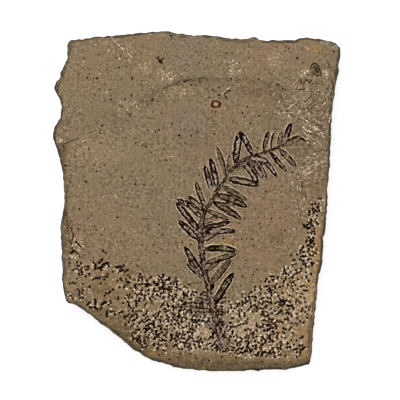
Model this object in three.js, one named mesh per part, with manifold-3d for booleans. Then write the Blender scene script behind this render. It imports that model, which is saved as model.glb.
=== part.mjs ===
// A thin plate of brown shale with one carbonised dawn redwood shoot on its bedding plane.
// Millimetres, +Z up. The plate lies on its back with the fossil facing up, and the origin is
// on the underside, below the middle of the plate's outline.

import * as THREE from 'three';
import { mergeVertices } from 'three/addons/utils/BufferGeometryUtils.js';
import Module from 'manifold-3d';

// ---------------------------------------------------------------- driving sizes

// The plate splits along its bedding, so its broken edge is a stack of beds. The top of the
// last bed is the bedding plane that carries the shoot.
const BED_TOPS = [1.5, 3.1, 4.2, 5.9, 7.3, 9.0];
const BED_BREAKS = [1.6, 0.9, 1.5, 0.6, 1.1, 0];
const BEDDING_PLANE = BED_TOPS[BED_TOPS.length - 1];

// A last thin flake of the bed above is left along the far side, behind a curved step.
const FLAKE_TOP = 9.7;
const FLAKE_BREAK = 0.7;

// The carbon film is as thin as a leaf, a little thicker at the stem.
const LEAF_FILM = 0.26;
const LEAF_FILM_STEPS = 3;
const LEAF_FILM_STEP = 0.08;
const STEM_FILM = 0.5;
const STEM_WIDTH_AT_FOOT = 2.0;
const STEM_WIDTH_AT_TIP = 0.7;
const STEM_KNOT_EXTRA = 1.0;
const STEM_KNOT_AT = 0.47;

// ---------------------------------------------------------------- outline of the plate

// Far edge, left to right: nearly straight, with three small nibs of broken bed.
const FAR_EDGE = [
  [-46.4, 56.8], [-45.7, 57.7], [-39.5, 58.5], [-31.9, 59.6], [-30.7, 59.4], [-23.3, 60.1],
  [-16, 60.7], [-11.9, 61.2], [-10.3, 61.3], [-9.2, 60.6], [-2, 59.6], [5, 59.6],
  [9.7, 58.6], [17.8, 58.1], [19.3, 58.7], [21.1, 59.2], [22.6, 58.1], [25.5, 57.4],
  [27.7, 57.9], [35.8, 57.6], [36.7, 58.5], [39.1, 58.7], [44.3, 58.3], [48.3, 57.4],
];

// Right edge, far to near: one clean break that leans in toward the near end.
const RIGHT_EDGE = [
  [50.5, 56.4], [51.8, 55.2], [51.6, 53.5], [50.5, 45.1], [49.6, 39.6], [48.7, 32.9],
  [48.1, 24.9], [47.4, 10.2], [46.5, -5.3], [46.1, -10.8], [45.4, -13.7], [45, -21.8],
  [43.7, -26.9], [43.3, -32.8], [41.7, -46.3], [41.3, -55.4],
];

// Near edge, right to left, and then the long slanting break across the left corner.
const NEAR_EDGE = [
  [40.4, -58.4], [36.2, -59.7], [31.8, -60.9], [28.5, -60.6], [21.1, -60.8], [10.1, -61.3],
  [1.2, -60.8], [-4.2, -60.5], [-8.3, -59.5], [-11.9, -58.2], [-16, -57.1], [-19.3, -55.6],
];
const CORNER_BREAK = [
  [-24.4, -51.8], [-29.2, -48.1], [-33.6, -44.4], [-36.6, -42.2], [-39.9, -39.8],
  [-42.8, -37.4], [-46.7, -36.8],
];

// Left edge, near to far: two bites with a point between them.
const LEFT_EDGE = [
  [-47.3, -35.6], [-48.2, -28.6], [-48.8, -27.7], [-48.2, -25.3], [-48.8, -20.6],
  [-48.9, -8.2], [-47.8, -3.4], [-47.4, 0.6], [-47.9, 5.8], [-48.1, 10.9], [-48.9, 14.2],
  [-50.2, 19.3], [-51.8, 23.6], [-50.9, 26.7], [-48.9, 30], [-48.3, 34.1], [-48.9, 35.9],
  [-50.9, 41], [-50.3, 42.9], [-49, 44], [-47.8, 48.7], [-46.3, 52.1],
];

const OUTLINE = [...FAR_EDGE, ...RIGHT_EDGE, ...NEAR_EDGE, ...CORNER_BREAK, ...LEFT_EDGE];

// The curved step, left to right. The flake lies on its far side.
const STEP = [
  [-56, 21], [-38.8, 25.3], [-30.8, 30], [-19.7, 36.3], [-12.3, 40.6], [-4.9, 43.3],
  [1.2, 44.4], [12.4, 44], [25.1, 42.2], [29.6, 41.5], [33.6, 39.9], [40.8, 40.8], [56, 44.5],
];

// Sloping breaks along the rim: the line where each starts on the bedding plane, then how
// far down it goes for each millimetre outward. All stay within the top bed.
const SLOPES = [
  { from: [46, -53.6], to: [-24, -54.4], fall: 0.21 },
  { from: [-11.7, -58.6], to: [-49, -30.6], fall: 0.5 },
  { from: [-43.4, -36], to: [-43.9, -14.5], fall: 0.3 },
  { from: [-43.9, -14.5], to: [-50, 1.7], fall: 0.3 },
];

// ---------------------------------------------------------------- the shoot

// The stem from its torn foot to its tip.
const STEM = [
  [9.8, -53.2], [8.6, -49.2], [7.5, -45.3], [6.6, -41.3], [5.9, -38.1], [5, -34.1],
  [4.1, -30.1], [3.2, -26.9], [2.5, -22.6], [1.9, -18.3], [1.4, -13.9], [1.2, -10.7],
  [2.1, -6.7], [3.2, -3.1], [5.2, 0.1], [6.6, 2.8], [8.6, 5.7], [10.9, 9.1], [13.3, 12.2],
  [16, 14.5], [19.2, 16], [22.4, 17], [25.7, 18.1], [28.7, 19.4], [31.4, 20.6],
];

// Each leaf is [base x, base y, tip x, tip y, width, bow]. The bow is how far the middle of
// the leaf stands off to the left of the line from its base to its tip.
const LEAVES = [
  // the tuft at the tip
  [31.4, 20.6, 34, 28.2, 1.9, 0.2],
  [29.6, 19.5, 30.4, 24.9, 2, 0],
  [31.8, 20.6, 37.4, 23.3, 1.5, 0.3],
  [31.4, 20.3, 37, 20.4, 1.8, -0.2],
  [35.4, 22.6, 39.2, 21.3, 0.9, 0],
  // the far side, tip to middle
  [26.8, 18.6, 28.2, 24.9, 1.2, 0.2],
  [24.4, 17.7, 26, 25.3, 1.7, 0.4],
  [20.1, 16.3, 15.8, 24.9, 1.6, -0.5],
  [14, 13.1, 15.7, 25.3, 2.2, 0.2],
  [11.5, 9.8, 11.8, 16.7, 1.7, 0],
  [10.4, 8.6, 7.3, 19.4, 1.9, -0.3],
  [7.5, 4.1, 4.9, 15.6, 2.2, -0.2],
  [6.4, 2.4, 2.9, 13.1, 1.9, -0.1],
  [3.5, -2.4, -0.3, 7.1, 2.1, -0.3],
  // the near side of the bent top
  [29.1, 19.4, 35.8, 12.5, 1.9, 0.2],
  [25.9, 18.1, 32.2, 10.7, 1.7, 0.2],
  [22.8, 16.7, 28.9, 8.9, 1.7, 0],
  [20.6, 16.3, 25.3, 8.2, 1.4, 0.2],
  [18.8, 15.6, 23.8, 8.3, 1.6, 0.1],
  [18.5, 15.8, 25.6, 14.1, 2.3, 0],
  [16.5, 14.7, 21.9, 6, 1.9, 0.4],
  [13.4, 12.2, 19.4, 15.4, 2, 0],
  [13.1, 11.8, 17, 12, 1.8, 0],
  [10.4, 8.4, 22.1, 5.7, 2.2, 0.2],
  // the right side of the middle
  [8.8, 5.9, 18.1, 0.4, 1.9, -0.2],
  [6.4, 2.6, 18.3, -1.7, 2.5, 0.4],
  [5.2, 0.3, 16, -6.3, 2.4, 0.2],
  [8, -1.2, 13.8, -1, 1.6, 0],
  [3.2, -3.1, 11.6, -6.6, 1.8, 0.1],
  [1.9, -7.8, 7.5, -5.7, 2, 0],
  [1.6, -9.4, 12.2, -7.3, 1.8, -0.3],
  [1.4, -11.2, 14.3, -10.7, 1.9, 0.2],
  [1.6, -14.3, 8, -10.7, 2.5, 0],
  // the left side of the middle
  [3, -3.9, -3.3, 1.8, 2.3, 0],
  [2.3, -6.4, -4.2, 0.5, 2, 0],
  [2.6, -4.9, -7.1, 1.2, 2, -0.3],
  [1.4, -11.1, -7.3, -0.6, 2.2, 0],
  [1.4, -14.3, -6.5, -7.3, 2.5, 0.1],
  // the right side of the lower stem
  [1.9, -17.5, 14.8, -17.9, 2.7, 0.4],
  [2.6, -22.6, 14.3, -18.8, 2.2, 0],
  [3.2, -25.5, 8.4, -21.1, 1.8, 0],
  [4.4, -30.7, 12.5, -20.8, 2.6, 0.2],
  [5.9, -38.1, 13.3, -25.8, 2.5, 0.1],
  [4.4, -31.9, 6.3, -29.4, 1.4, 0],
  // the left side of the lower stem
  [3, -27.8, -4.4, -16.4, 2.1, 0.2],
  [3.5, -29.1, -3, -20.4, 1.9, 0],
  [3.5, -28.9, -3.7, -22.4, 1.4, 0],
  // broken leaves at the foot
  [5.9, -39.5, -4.6, -38.1, 2.3, 0.3],
  [5.5, -37, -0.6, -34.5, 1.8, 0],
  [6.2, -39.9, 10, -40.4, 1.8, 0],
  [8, -48.1, 3.7, -42.7, 1.5, 0.1],
  [8.4, -48.9, 10.6, -43.8, 1.5, -0.1],
];

// ---------------------------------------------------------------- solids

const wasm = await Module();
wasm.setup();

function toSolid(geometry) {
  geometry.deleteAttribute('normal');
  geometry.deleteAttribute('uv');
  const merged = mergeVertices(geometry);
  return new wasm.Manifold(new wasm.Mesh({
    numProp: 3,
    vertProperties: merged.attributes.position.array,
    triVerts: merged.index.array,
  }));
}

function toGeometry(solid) {
  const mesh = solid.getMesh();
  const geometry = new THREE.BufferGeometry();
  geometry.setAttribute('position', new THREE.BufferAttribute(mesh.vertProperties, 3));
  geometry.setIndex(new THREE.BufferAttribute(mesh.triVerts, 1));
  geometry.computeVertexNormals();
  return geometry;
}

function slab(points, bottom, top) {
  const shape = new THREE.Shape(points.map(([x, y]) => new THREE.Vector2(x, y)));
  const geometry = new THREE.ExtrudeGeometry(shape, { depth: top - bottom, bevelEnabled: false });
  return toSolid(geometry.translate(0, 0, bottom));
}

// ---------------------------------------------------------------- the shale plate

// The outline with its points pulled in by up to `depth`, unevenly, as a bed breaks back.
function brokenOutline(depth, bed) {
  const count = OUTLINE.length;
  return OUTLINE.map(([x, y], i) => {
    const [beforeX, beforeY] = OUTLINE[(i + count - 1) % count];
    const [afterX, afterY] = OUTLINE[(i + 1) % count];
    const along = new THREE.Vector2(afterX - beforeX, afterY - beforeY).normalize();
    const wave = Math.sin(1.3 * i + 2.1 * bed) + Math.sin(0.47 * i + 3.7 * bed);
    const inset = depth * (0.5 + 0.25 * wave);
    return [x + along.y * inset, y - along.x * inset];
  });
}

// A block whose underside starts on the line from-to at the bedding plane and falls away to
// the left of it. The outline runs clockwise, so its left is outside.
function slopeCutter({ from, to, fall }) {
  const reach = 30;
  const u = new THREE.Vector3(to[0] - from[0], to[1] - from[1], 0);
  const length = u.length();
  u.normalize();
  const v = new THREE.Vector3(-u.y, u.x, -fall).normalize();
  const w = new THREE.Vector3().crossVectors(u, v);
  const block = new THREE.BoxGeometry(length, reach, reach);
  block.translate(length / 2, reach / 2, reach / 2);
  block.applyMatrix4(new THREE.Matrix4().makeBasis(u, v, w));
  block.translate(from[0], from[1], BEDDING_PLANE);
  return toSolid(block);
}

function shalePlate() {
  let plate = null;
  BED_TOPS.forEach((top, bed) => {
    const bottom = bed === 0 ? 0 : BED_TOPS[bed - 1];
    const layer = slab(brokenOutline(BED_BREAKS[bed], bed), bottom, top);
    plate = plate === null ? layer : plate.add(layer);
  });
  SLOPES.forEach((slope) => {
    plate = plate.subtract(slopeCutter(slope));
  });

  const stepLine = new THREE.SplineCurve(STEP.map(([x, y]) => new THREE.Vector2(x, y)));
  const farSide = stepLine.getPoints(36).map((p) => [p.x, p.y]);
  farSide.push([56, 70], [-56, 70]);
  const flakeBottom = BEDDING_PLANE - 1;
  const flake = slab(brokenOutline(FLAKE_BREAK, BED_TOPS.length), flakeBottom, FLAKE_TOP)
    .intersect(slab(farSide, flakeBottom, FLAKE_TOP));
  return plate.add(flake);
}

// ---------------------------------------------------------------- the redwood shoot

// A thin film lying on z = 0 with upright edges. The two lists are its left and right edges.
function film(left, right, height) {
  const shape = new THREE.Shape([...left, ...[...right].reverse()]);
  return toSolid(new THREE.ExtrudeGeometry(shape, { depth: height, bevelEnabled: false }));
}

// Half the width of a leaf, from its narrow foot (t = 0) to its blunt tip (t = 1).
function leafHalfWidth(t, width) {
  const foot = 0.35 + 0.65 * THREE.MathUtils.smoothstep(t, 0, 0.3);
  const round = Math.max(0, (t - 0.62) / 0.38);
  return 0.5 * width * foot * Math.sqrt(Math.max(0.02, 1 - round ** 2.3));
}

const LEAF_STATIONS = [0, 0.12, 0.28, 0.5, 0.7, 0.84, 0.94, 1];

function leafSides([baseX, baseY, tipX, tipY, width, bow]) {
  const base = new THREE.Vector2(baseX, baseY);
  const along = new THREE.Vector2(tipX, tipY).sub(base);
  const leftward = new THREE.Vector2(-along.y, along.x).normalize();
  const left = [];
  const right = [];
  LEAF_STATIONS.forEach((t) => {
    const middle = base.clone().addScaledVector(along, t);
    middle.addScaledVector(leftward, 4 * bow * t * (1 - t));
    const half = leafHalfWidth(t, width);
    left.push(middle.clone().addScaledVector(leftward, half));
    right.push(middle.clone().addScaledVector(leftward, -half));
  });
  return [left, right];
}

function leaf(row, index) {
  const [left, right] = leafSides(row);
  return film(left, right, LEAF_FILM + LEAF_FILM_STEP * (index % LEAF_FILM_STEPS));
}

function stem() {
  const line = new THREE.SplineCurve(STEM.map(([x, y]) => new THREE.Vector2(x, y)));
  const steps = 40;
  const left = [];
  const right = [];
  for (let i = 0; i <= steps; i += 1) {
    const s = i / steps;
    const knot = STEM_KNOT_EXTRA * Math.exp(-(((s - STEM_KNOT_AT) / 0.035) ** 2));
    const ease = 1 - (1 - s) ** 2.2;
    const width = THREE.MathUtils.lerp(STEM_WIDTH_AT_FOOT, STEM_WIDTH_AT_TIP, ease) + knot;
    const point = line.getPointAt(s);
    const along = line.getTangentAt(s);
    const leftward = new THREE.Vector2(-along.y, along.x);
    left.push(point.clone().addScaledVector(leftward, width / 2));
    right.push(point.clone().addScaledVector(leftward, -width / 2));
  }
  return film(left, right, STEM_FILM);
}

function redwoodSprig() {
  return LEAVES.map(leaf).reduce((whole, part) => whole.add(part), stem());
}

// ---------------------------------------------------------------- the whole part

const shale = new THREE.MeshStandardMaterial({ color: 0x806d55, roughness: 0.92, metalness: 0 });
const carbon = new THREE.MeshStandardMaterial({ color: 0x2e241f, roughness: 0.7, metalness: 0 });

const plateMesh = new THREE.Mesh(toGeometry(shalePlate()), shale);
plateMesh.name = 'shale_slab';

const sprigMesh = new THREE.Mesh(toGeometry(redwoodSprig()), carbon);
sprigMesh.name = 'redwood_sprig';
sprigMesh.position.z = BEDDING_PLANE;

const fossilPlate = new THREE.Group();
fossilPlate.add(plateMesh, sprigMesh);

export default fossilPlate;
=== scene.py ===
"""A thin broken plate of brown shale with a carbonised dawn redwood shoot on its bedding plane."""

import math
import random

import bmesh
import bpy
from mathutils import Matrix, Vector, noise
from mathutils.bvhtree import BVHTree
from mathutils.kdtree import KDTree


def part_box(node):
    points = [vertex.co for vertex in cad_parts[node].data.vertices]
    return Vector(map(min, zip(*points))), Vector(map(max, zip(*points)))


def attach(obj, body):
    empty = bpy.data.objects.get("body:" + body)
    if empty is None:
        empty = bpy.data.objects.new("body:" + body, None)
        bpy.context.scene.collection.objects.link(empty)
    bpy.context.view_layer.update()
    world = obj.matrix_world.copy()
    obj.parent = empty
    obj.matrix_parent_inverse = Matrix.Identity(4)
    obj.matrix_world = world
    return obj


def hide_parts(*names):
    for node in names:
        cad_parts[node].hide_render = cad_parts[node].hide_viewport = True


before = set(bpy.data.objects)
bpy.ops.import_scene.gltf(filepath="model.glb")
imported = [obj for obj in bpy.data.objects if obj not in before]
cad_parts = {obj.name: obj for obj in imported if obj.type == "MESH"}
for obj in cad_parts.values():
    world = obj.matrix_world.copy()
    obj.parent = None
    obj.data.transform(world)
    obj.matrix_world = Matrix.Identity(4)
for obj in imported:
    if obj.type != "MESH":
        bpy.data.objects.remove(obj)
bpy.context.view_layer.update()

# ------------------------------------------------------------ the shale plate
# One split plate of fine brown mudstone, about 104 by 123 mm and 9 mm thick. Its rim is broken
# across the beds, a last flake of the bed above is left along the far side, and the near end of
# the bedding plane is rough and peppered with dark specks and pale flecks.

MM = 0.001
BEDDING_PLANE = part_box("redwood_sprig")[0].z / MM
PLATE_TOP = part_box("shale_slab")[1].z / MM

# Lines on the bedding plane, left to right, in millimetres.
STEP_LINE = [
    (-56, 21), (-38.8, 25.3), (-30.8, 30), (-19.7, 36.3), (-12.3, 40.6), (-4.9, 43.3), (1.2, 44.4),
    (12.4, 44), (25.1, 42.2), (29.6, 41.5), (33.6, 39.9), (40.8, 40.8), (56, 44.5),
]
ROUGH_FAR_LINE = [
    (-50, -13), (-44, -15.5), (-42, -21.5), (-33, -22), (-27.5, -24), (-22, -25.5), (-16.8, -27.6),
    (-11.4, -26.6), (-6.7, -28.3), (-2.4, -30.9), (3, -32.3), (13.8, -36.2), (16.7, -34.8),
    (21, -31.2), (25.3, -28.3), (30, -25.1), (33.6, -21.9), (36.5, -18.2), (39, -14.3),
    (39.4, -10.3), (40.1, -4.9), (41.5, -1.3), (44, 2), (56, 4),
]
ROUGH_NEAR_LINE = [
    (-50, -30), (-45.6, -34.8), (-40, -36.8), (-38.5, -38.8), (-33.7, -41), (-29, -43),
    (-23.3, -49.8), (-18.6, -53), (-10, -53.8), (-2.4, -54.5), (8, -54.7), (15, -55.2),
    (20, -56.3), (36, -56.6), (40.8, -54), (56, -53),
]
# Lines that run up the plate: y, then x.
RIGHT_RIM = [(-62, 38.6), (-50, 39.5), (-33, 41), (-22, 42.8), (-10, 43.8), (5, 45)]
LEFT_STRIP = [
    (-30, -47.5), (-28.3, -47), (-24, -46.3), (-19.3, -45.2), (-15.7, -44.5), (-12.1, -44.9),
    (-8.5, -45.6), (-4.2, -46.3), (1, -50),
]

# Soft spots: x, y, half width, half height, strength. First the stone's tints.
PINK_SPOTS = [
    (-37.5, 46.5, 9, 9, 0.9), (-33, -10.5, 17, 14, 1.0), (31.5, 52, 17, 7, 0.8),
    (19.5, 36, 5, 8, 1.0), (24, -8, 15, 19, 1.0), (44, 6, 5, 10, 0.8), (28, 40, 9, 4, 0.6),
    (-9, -18, 6, 7, 0.8), (27, -37.5, 3, 2.4, 0.9), (-22, -49.5, 5, 3, 0.7),
    (36.6, 41.4, 5, 3, 0.6), (33, 20, 7, 7, 0.6), (-20.4, -24.6, 5, 4, 0.7),
    (8.6, -3.6, 8, 10, 0.5),
]
LILAC_SPOTS = [
    (-2.4, 53.8, 6, 8, 1.0), (-3.1, 26.4, 8, 10, 0.9), (37, 36.5, 6, 4, 1.0),
    (-40, -34, 5, 3, 0.5), (-2, -38, 5, 2.4, 0.6), (11, -44.5, 4, 3.5, 0.9), (9, -49, 3, 3, 0.7),
    (-10, -40, 4, 3, 0.7), (35, 34, 4, 5, 0.9),
]
OCHRE_SPOTS = [
    (39.4, -31, 4, 6, 0.75), (31.8, -50, 4, 2, 0.7), (-28.3, -29.4, 7, 4, 0.35),
    (-16.8, -38.5, 4, 2.4, 0.35), (39, -55, 4, 2, 0.7), (-27, -44.5, 6, 3, 0.45),
    (-9, -53.5, 4, 2.6, 0.45), (12, -15, 4, 2.4, 0.35), (22, -53.5, 9, 1.6, 0.4),
    (42.5, 54.6, 3, 1.4, 0.4), (17.5, 42.9, 4, 0.7, 0.5), (-3, -14, 3, 4, 0.3),
    (39.5, -42, 3, 6, 0.4), (45, -22, 3, 4, 0.35), (28, -27, 7, 3, 0.3),
    (-29.4, -31, 15, 10, 0.35), (-17, -49, 8, 6, 0.4), (45, -20, 5, 14, 0.7),
    (32, -52, 14, 4, 0.4), (40, -33.5, 4.5, 3.5, 1.0), (39, -46, 4, 6, 0.5), (-9, -37, 7, 5, 0.25),
    (36, -34, 6, 8, 0.55), (30, -45, 4, 4, 0.4), (-31, -46.3, 5, 4, 0.75), (-24, -52, 6, 4, 0.9),
    (-16.8, -53.5, 6, 3, 0.8), (33.6, -53.5, 6, 3, 0.6), (33.6, -31.9, 5, 5, 0.6),
    (41, -14, 2.5, 8, 0.4),
]
DULL_SPOTS = [
    (43.2, 47.4, 2.1, 2.5, 1.0), (28.9, 39.2, 3.6, 2.8, 0.55), (29, -13, 4, 3, 0.35),
    (-2, -38, 6, 3, 0.6), (20, 40, 8, 2.6, 0.5), (-6, -58, 12, 4, 0.6), (-37, -35, 12, 8, 0.4),
    (-29, -45, 7, 6, 0.65), (-22, -53, 8, 5, 0.9), (45, 28, 5, 13, 0.45), (-52, 20, 4, 10, 0.4),
    (31, 36, 7, 3, 0.35), (29, 24, 5, 3, 0.3), (-29, -30, 15, 9, 0.28), (-17, -49, 8, 6, 0.4),
    (-9, -38, 8, 5, 0.28), (37, 22, 6, 8, 0.4), (-2, -31, 6, 3, 0.25), (8, 7, 4, 7, 0.35),
    (-49, 18, 3, 6, 0.9), (47, -15, 3, 12, 0.2), (5, 22, 12, 8, 0.15), (44.4, 7.5, 4, 7, 0.4),
    (-42, -17.5, 4, 4, 0.45), (-31, -39, 8, 4, 0.4), (37, 33, 5, 4, 0.25), (28, 32, 6, 6, 0.25),
    (-27, -47, 6, 4, 0.85), (-13, -53.5, 6, 3, 0.6), (-35, -40, 5, 3, 0.6), (-35, -32, 6, 4, 0.45),
    (30, -53.5, 6, 2.5, 0.5),
]
# Stone that is bruised, bare, scratched or scuffed.
PALE_SPOTS = [
    (-24.6, 33.3, 4.5, 3.6, 0.5), (-18.6, 47.8, 2.5, 2.6, 0.6), (-10.6, 45, 4, 2.5, 0.6),
    (13.2, 48, 3, 4, 0.5), (28.2, 51.1, 3, 4, 0.5), (39, 45.6, 2.2, 2.5, 0.6),
    (36, 34.5, 9, 6, 0.3), (-42.9, -17, 2.6, 5, 0.9), (-35, 18, 12, 6, 0.25), (42, 10, 5, 3, 0.4),
    (-50, 21.5, 3, 2, 0.8), (37, -33, 8, 10, 0.8), (19, -42, 6, 4, 0.7), (4, -44, 8, 4, 0.7),
    (45.5, 46, 2.4, 2.4, 0.6), (-6, 40.5, 5, 2.6, 0.5), (36, 41, 5, 2.6, 0.5),
    (47.5, 0, 2.5, 5, 0.6), (2.5, -46, 5, 4, 1.0), (18, -46, 7, 5, 1.0), (-41, -25, 3, 3, 1.0),
]
GREY_LEDGES = [
    (45.3, 57.6, 1.4, 0.7, 1.0), (47.4, 56.9, 1.4, 0.8, 1.0), (49.4, 55.8, 1.4, 0.9, 1.0),
    (-48.6, -12, 0.9, 7, 0.9), (-48.4, -23, 0.9, 6, 0.8),
]
STREAK_SPOTS = [(42.5, 24.3, 6, 9, 1.0), (44, 38, 5, 6, 0.5)]
SCUFFED_SPOTS = [
    (42.5, 26, 9, 12, 0.9), (41, 41, 10, 8, 0.9), (33, 34, 8, 7, 0.7), (41, 11, 8, 8, 1.0),
    (37, -1, 6, 9, 0.8), (-46, -15, 3.2, 13, 1.0), (-25, 33, 7, 5, 0.6), (13, 47, 6, 7, 0.6),
    (-10, 45, 6, 4, 0.7), (-48, 12, 4, 12, 0.7), (-22, 47, 8, 4, 0.5), (30, 42, 8, 6, 0.5),
    (-30, 56, 8, 5, 0.5), (46, 50, 5, 6, 0.6), (-18, -50, 8, 4, 0.5),
]
# Where few crumbs lie at the rough end, and where many do.
BARE_SPOTS = [
    (-33, -30.5, 6, 3, 0.85), (-17, -38.4, 4.6, 2.8, 0.95), (-8.9, -53.2, 3, 2.5, 0.9),
    (19.5, -43, 2.6, 4.4, 0.85), (16.7, -38, 1.8, 1.8, 0.7), (27.1, -37.7, 2.4, 2, 0.6),
    (-27.6, -42, 3, 1.5, 0.6), (-23, -44.5, 3.4, 2.2, 0.4), (-42, -35.5, 4, 3, 0.8),
    (38, -32, 3, 3.4, 0.6), (10, -30, 3, 5, 0.9), (8.5, -37.2, 1.6, 1.4, 0.7),
    (1.5, -46.5, 4, 3, 0.35), (15.6, -46, 4, 3, 0.35), (30, -46, 4, 4, 0.3),
    (-20.4, -24.6, 3, 2, 0.6), (-7, -26.5, 4, 2, 0.5), (33, -30, 6, 4, 0.35),
    (10, -37.4, 3, 1.6, 0.7), (3.4, -47, 1.6, 1.8, 0.9), (22.8, -31.9, 4, 3, 0.4),
    (-17, -32, 7, 3, 0.25), (-6, -31.9, 4, 3, 0.4), (30, -39, 3, 3, 0.35), (-12, -33, 3, 2, 0.2),
    (-20.4, -31.9, 3, 2, 0.3), (-13.2, -46.3, 3, 3, 0.3), (1.2, -46.3, 3, 3, 0.15),
    (15.6, -46.3, 3, 3, 0.2), (-22, -39.5, 3, 2, 0.3),
]
DENSE_SPOTS = [
    (-41.5, -24.5, 2.6, 2.4, 0.75), (-35.3, -23, 3.4, 2.2, 1.0), (-27.4, -24.4, 2.6, 2, 1.0),
    (-36, -38, 2.8, 3, 0.9), (-20.6, -27.4, 1.8, 1.8, 1.0), (-22, -35.3, 2.6, 2.2, 1.0),
    (-13.3, -30.2, 5.2, 4.2, 0.85), (-14.8, -52, 1.8, 3, 1.0), (25, -45, 3, 5, 1.0),
    (21, -53, 5, 2.4, 0.9), (31.6, -36, 3, 2, 0.8), (-45, -12, 1.5, 1.5, 0.7),
    (14, -36.4, 1.8, 1.8, 1.0), (40.5, -8, 2, 5, 0.9), (4.8, -53, 3, 2, 0.6),
    (-31, -40.8, 3.2, 1.6, 0.6), (-24.2, -42.2, 2, 1.8, 0.6), (-28.5, -35.5, 3, 1.5, 0.3),
    (-2.5, -38, 4.5, 2.2, 0.65), (36, -20.5, 3.5, 2, 0.6), (40.5, -15, 2.5, 5, 0.8),
    (-14, -45, 3, 3, 0.55), (-9, -49, 3, 2, 0.5), (8.4, -53.4, 3, 2, 0.55),
    (15.6, -53.4, 3, 2, 0.5),
]


def value_on(line, at):
    """The second number of a line of pairs where the first is at."""
    for (start, low), (end, high) in zip(line, line[1:]):
        if at <= end:
            return low + (high - low) * (at - start) / (end - start)
    return line[-1][1]


def smooth(low, high, value):
    """0 below low, 1 above high, and a smooth rise between them."""
    t = min(1.0, max(0.0, (value - low) / (high - low)))
    return t * t * (3 - 2 * t)


# A soft spot is at its full strength out to the first, and gone at the second.
SPOT_CORE = 0.45
SPOT_EDGE = 1.25


def spots(places, x, y):
    """How strongly the soft spots show at x, y."""
    strength = 0.0
    for spot_x, spot_y, half_width, half_height, peak in places:
        away = math.hypot((x - spot_x) / half_width, (y - spot_y) / half_height)
        if away < SPOT_EDGE:
            strength = max(strength, peak * (1 - smooth(SPOT_CORE, SPOT_EDGE, away)))
    return strength


def uneven(x, y, size, seed):
    """Soft noise about 0, in lumps of this size."""
    return noise.noise((x / size, y / size, seed))


def near_line(x, y):
    """Where the rough zone ends on its near side."""
    return value_on(ROUGH_NEAR_LINE, x) + 1.6 * uneven(x, y, 2.6, 13)


def left_strip(x, y, low, high):
    """1 on the strip along the left rim that lies a bed lower, with an edge from low to high."""
    return smooth(low, high, value_on(LEFT_STRIP, y) - x) * smooth(-31, -27, y)


def rough_zone(x, y):
    """1 on the rough, peppered near end of the bedding plane and 0 elsewhere."""
    if y > 6:
        return 0.0
    from_far = value_on(ROUGH_FAR_LINE, x) + 1.2 * uneven(x, y, 2.2, 3) - y
    from_near = y - near_line(x, y)
    from_right = value_on(RIGHT_RIM, y) - x
    inside = smooth(-0.6, 1.6, from_far) * smooth(-0.8, 1.6, from_near)
    return inside * smooth(-0.5, 1.5, from_right)


def crumb_density(x, y):
    """How thickly dark plant crumbs cover the bedding plane."""
    zone = rough_zone(x, y)
    if zone == 0:
        return 0.0
    even = (0.2 + 0.8 * smooth(-27, -17, x)) * (1 - 0.12 * smooth(8, 16, x))
    even *= 1 - 0.4 * smooth(24, 35, x) + 0.15 * smooth(-19, -15, x) * (1 - smooth(-5, 0, x))
    even *= 1 - 0.22 * (1 - smooth(-43, -39, y)) * smooth(-8, 0, x)
    patches = 0.85 + 0.8 * uneven(x, y, 4, 8) + 0.6 * uneven(x, y, 1.8, 9)
    dense = max(even * patches, spots(DENSE_SPOTS, x, y))
    return zone * dense * (1 - spots(BARE_SPOTS, x, y))


# The step runs at a slant, so it is nearer than a straight measure up the plate by this much.
STEP_SLANT = 0.92


def flake_lift(x, y):
    """How much of the last flake of the bed above is left at x, y: 0 to 1."""
    from_step = (y - value_on(STEP_LINE, x)) * STEP_SLANT
    worn = 2.4 + 14 * (1 - smooth(-46, -27, x)) + 7 * smooth(30, 40, x)
    return smooth(-0.25 * worn, 0.75 * worn, from_step + 0.35 * uneven(x, y, 1.6, 31))


def bedding_relief(x, y):
    """Height of the bedding plane's fine relief at x, y, in millimetres."""
    lumps = uneven(x, y, 2.0, 11) + 0.7 * uneven(x, y, 0.9, 17)
    # Faint ripples curve down the right side, round a point in the middle of the plate.
    ring = math.hypot(x - 1.2, y - 6.2)
    swell = smooth(31, 36, x) * smooth(-20, -6, y) * (1 - smooth(13, 20, y))
    ripples = 0.2 * math.sin(2.6 * ring + 1.5 * uneven(x, y, 6, 2)) * swell
    relief = 0.1 * uneven(x, y, 26, 1) + 0.04 * uneven(x, y, 1.9, 5) + ripples
    return relief + rough_zone(x, y) * (0.17 * lumps - 0.12) - 0.4 * left_strip(x, y, 0, 0.9)


PINK_STRENGTH = 0.6
LILAC_STRENGTH = 0.75


def stone_tints(x, y):
    """How pink, lilac and ochre the stone is at x, y."""
    pink = PINK_STRENGTH * spots(PINK_SPOTS, x, y)
    lilac = LILAC_STRENGTH * spots(LILAC_SPOTS, x, y)
    return pink, lilac, spots(OCHRE_SPOTS, x, y)


def in_scene(name, data):
    """A new object in the scene."""
    piece = bpy.data.objects.new(name, data)
    bpy.context.scene.collection.objects.link(piece)
    return piece


VOXEL = 0.62 * MM
RIM_STRETCH = 2.0
FLAKE_THICKNESS = PLATE_TOP - BEDDING_PLANE - 0.15
RIM_WIDTH = 0.5
RIM_GROWTH = 0.22
RIM_WEAR = 0.25
LEDGE_DEPTH = 0.3
# Heights in millimetres: the underside lies below the first and the broken rim starts at the
# second; the top's relief and the rim's painted shade fade in between the last pairs.
UNDERSIDE_TOP = 4
RIM_FOOT = 6
TOP_BAND = (7.2, 8.9)
RIM_SHADE_BAND = (6.2, 8.2)

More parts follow.
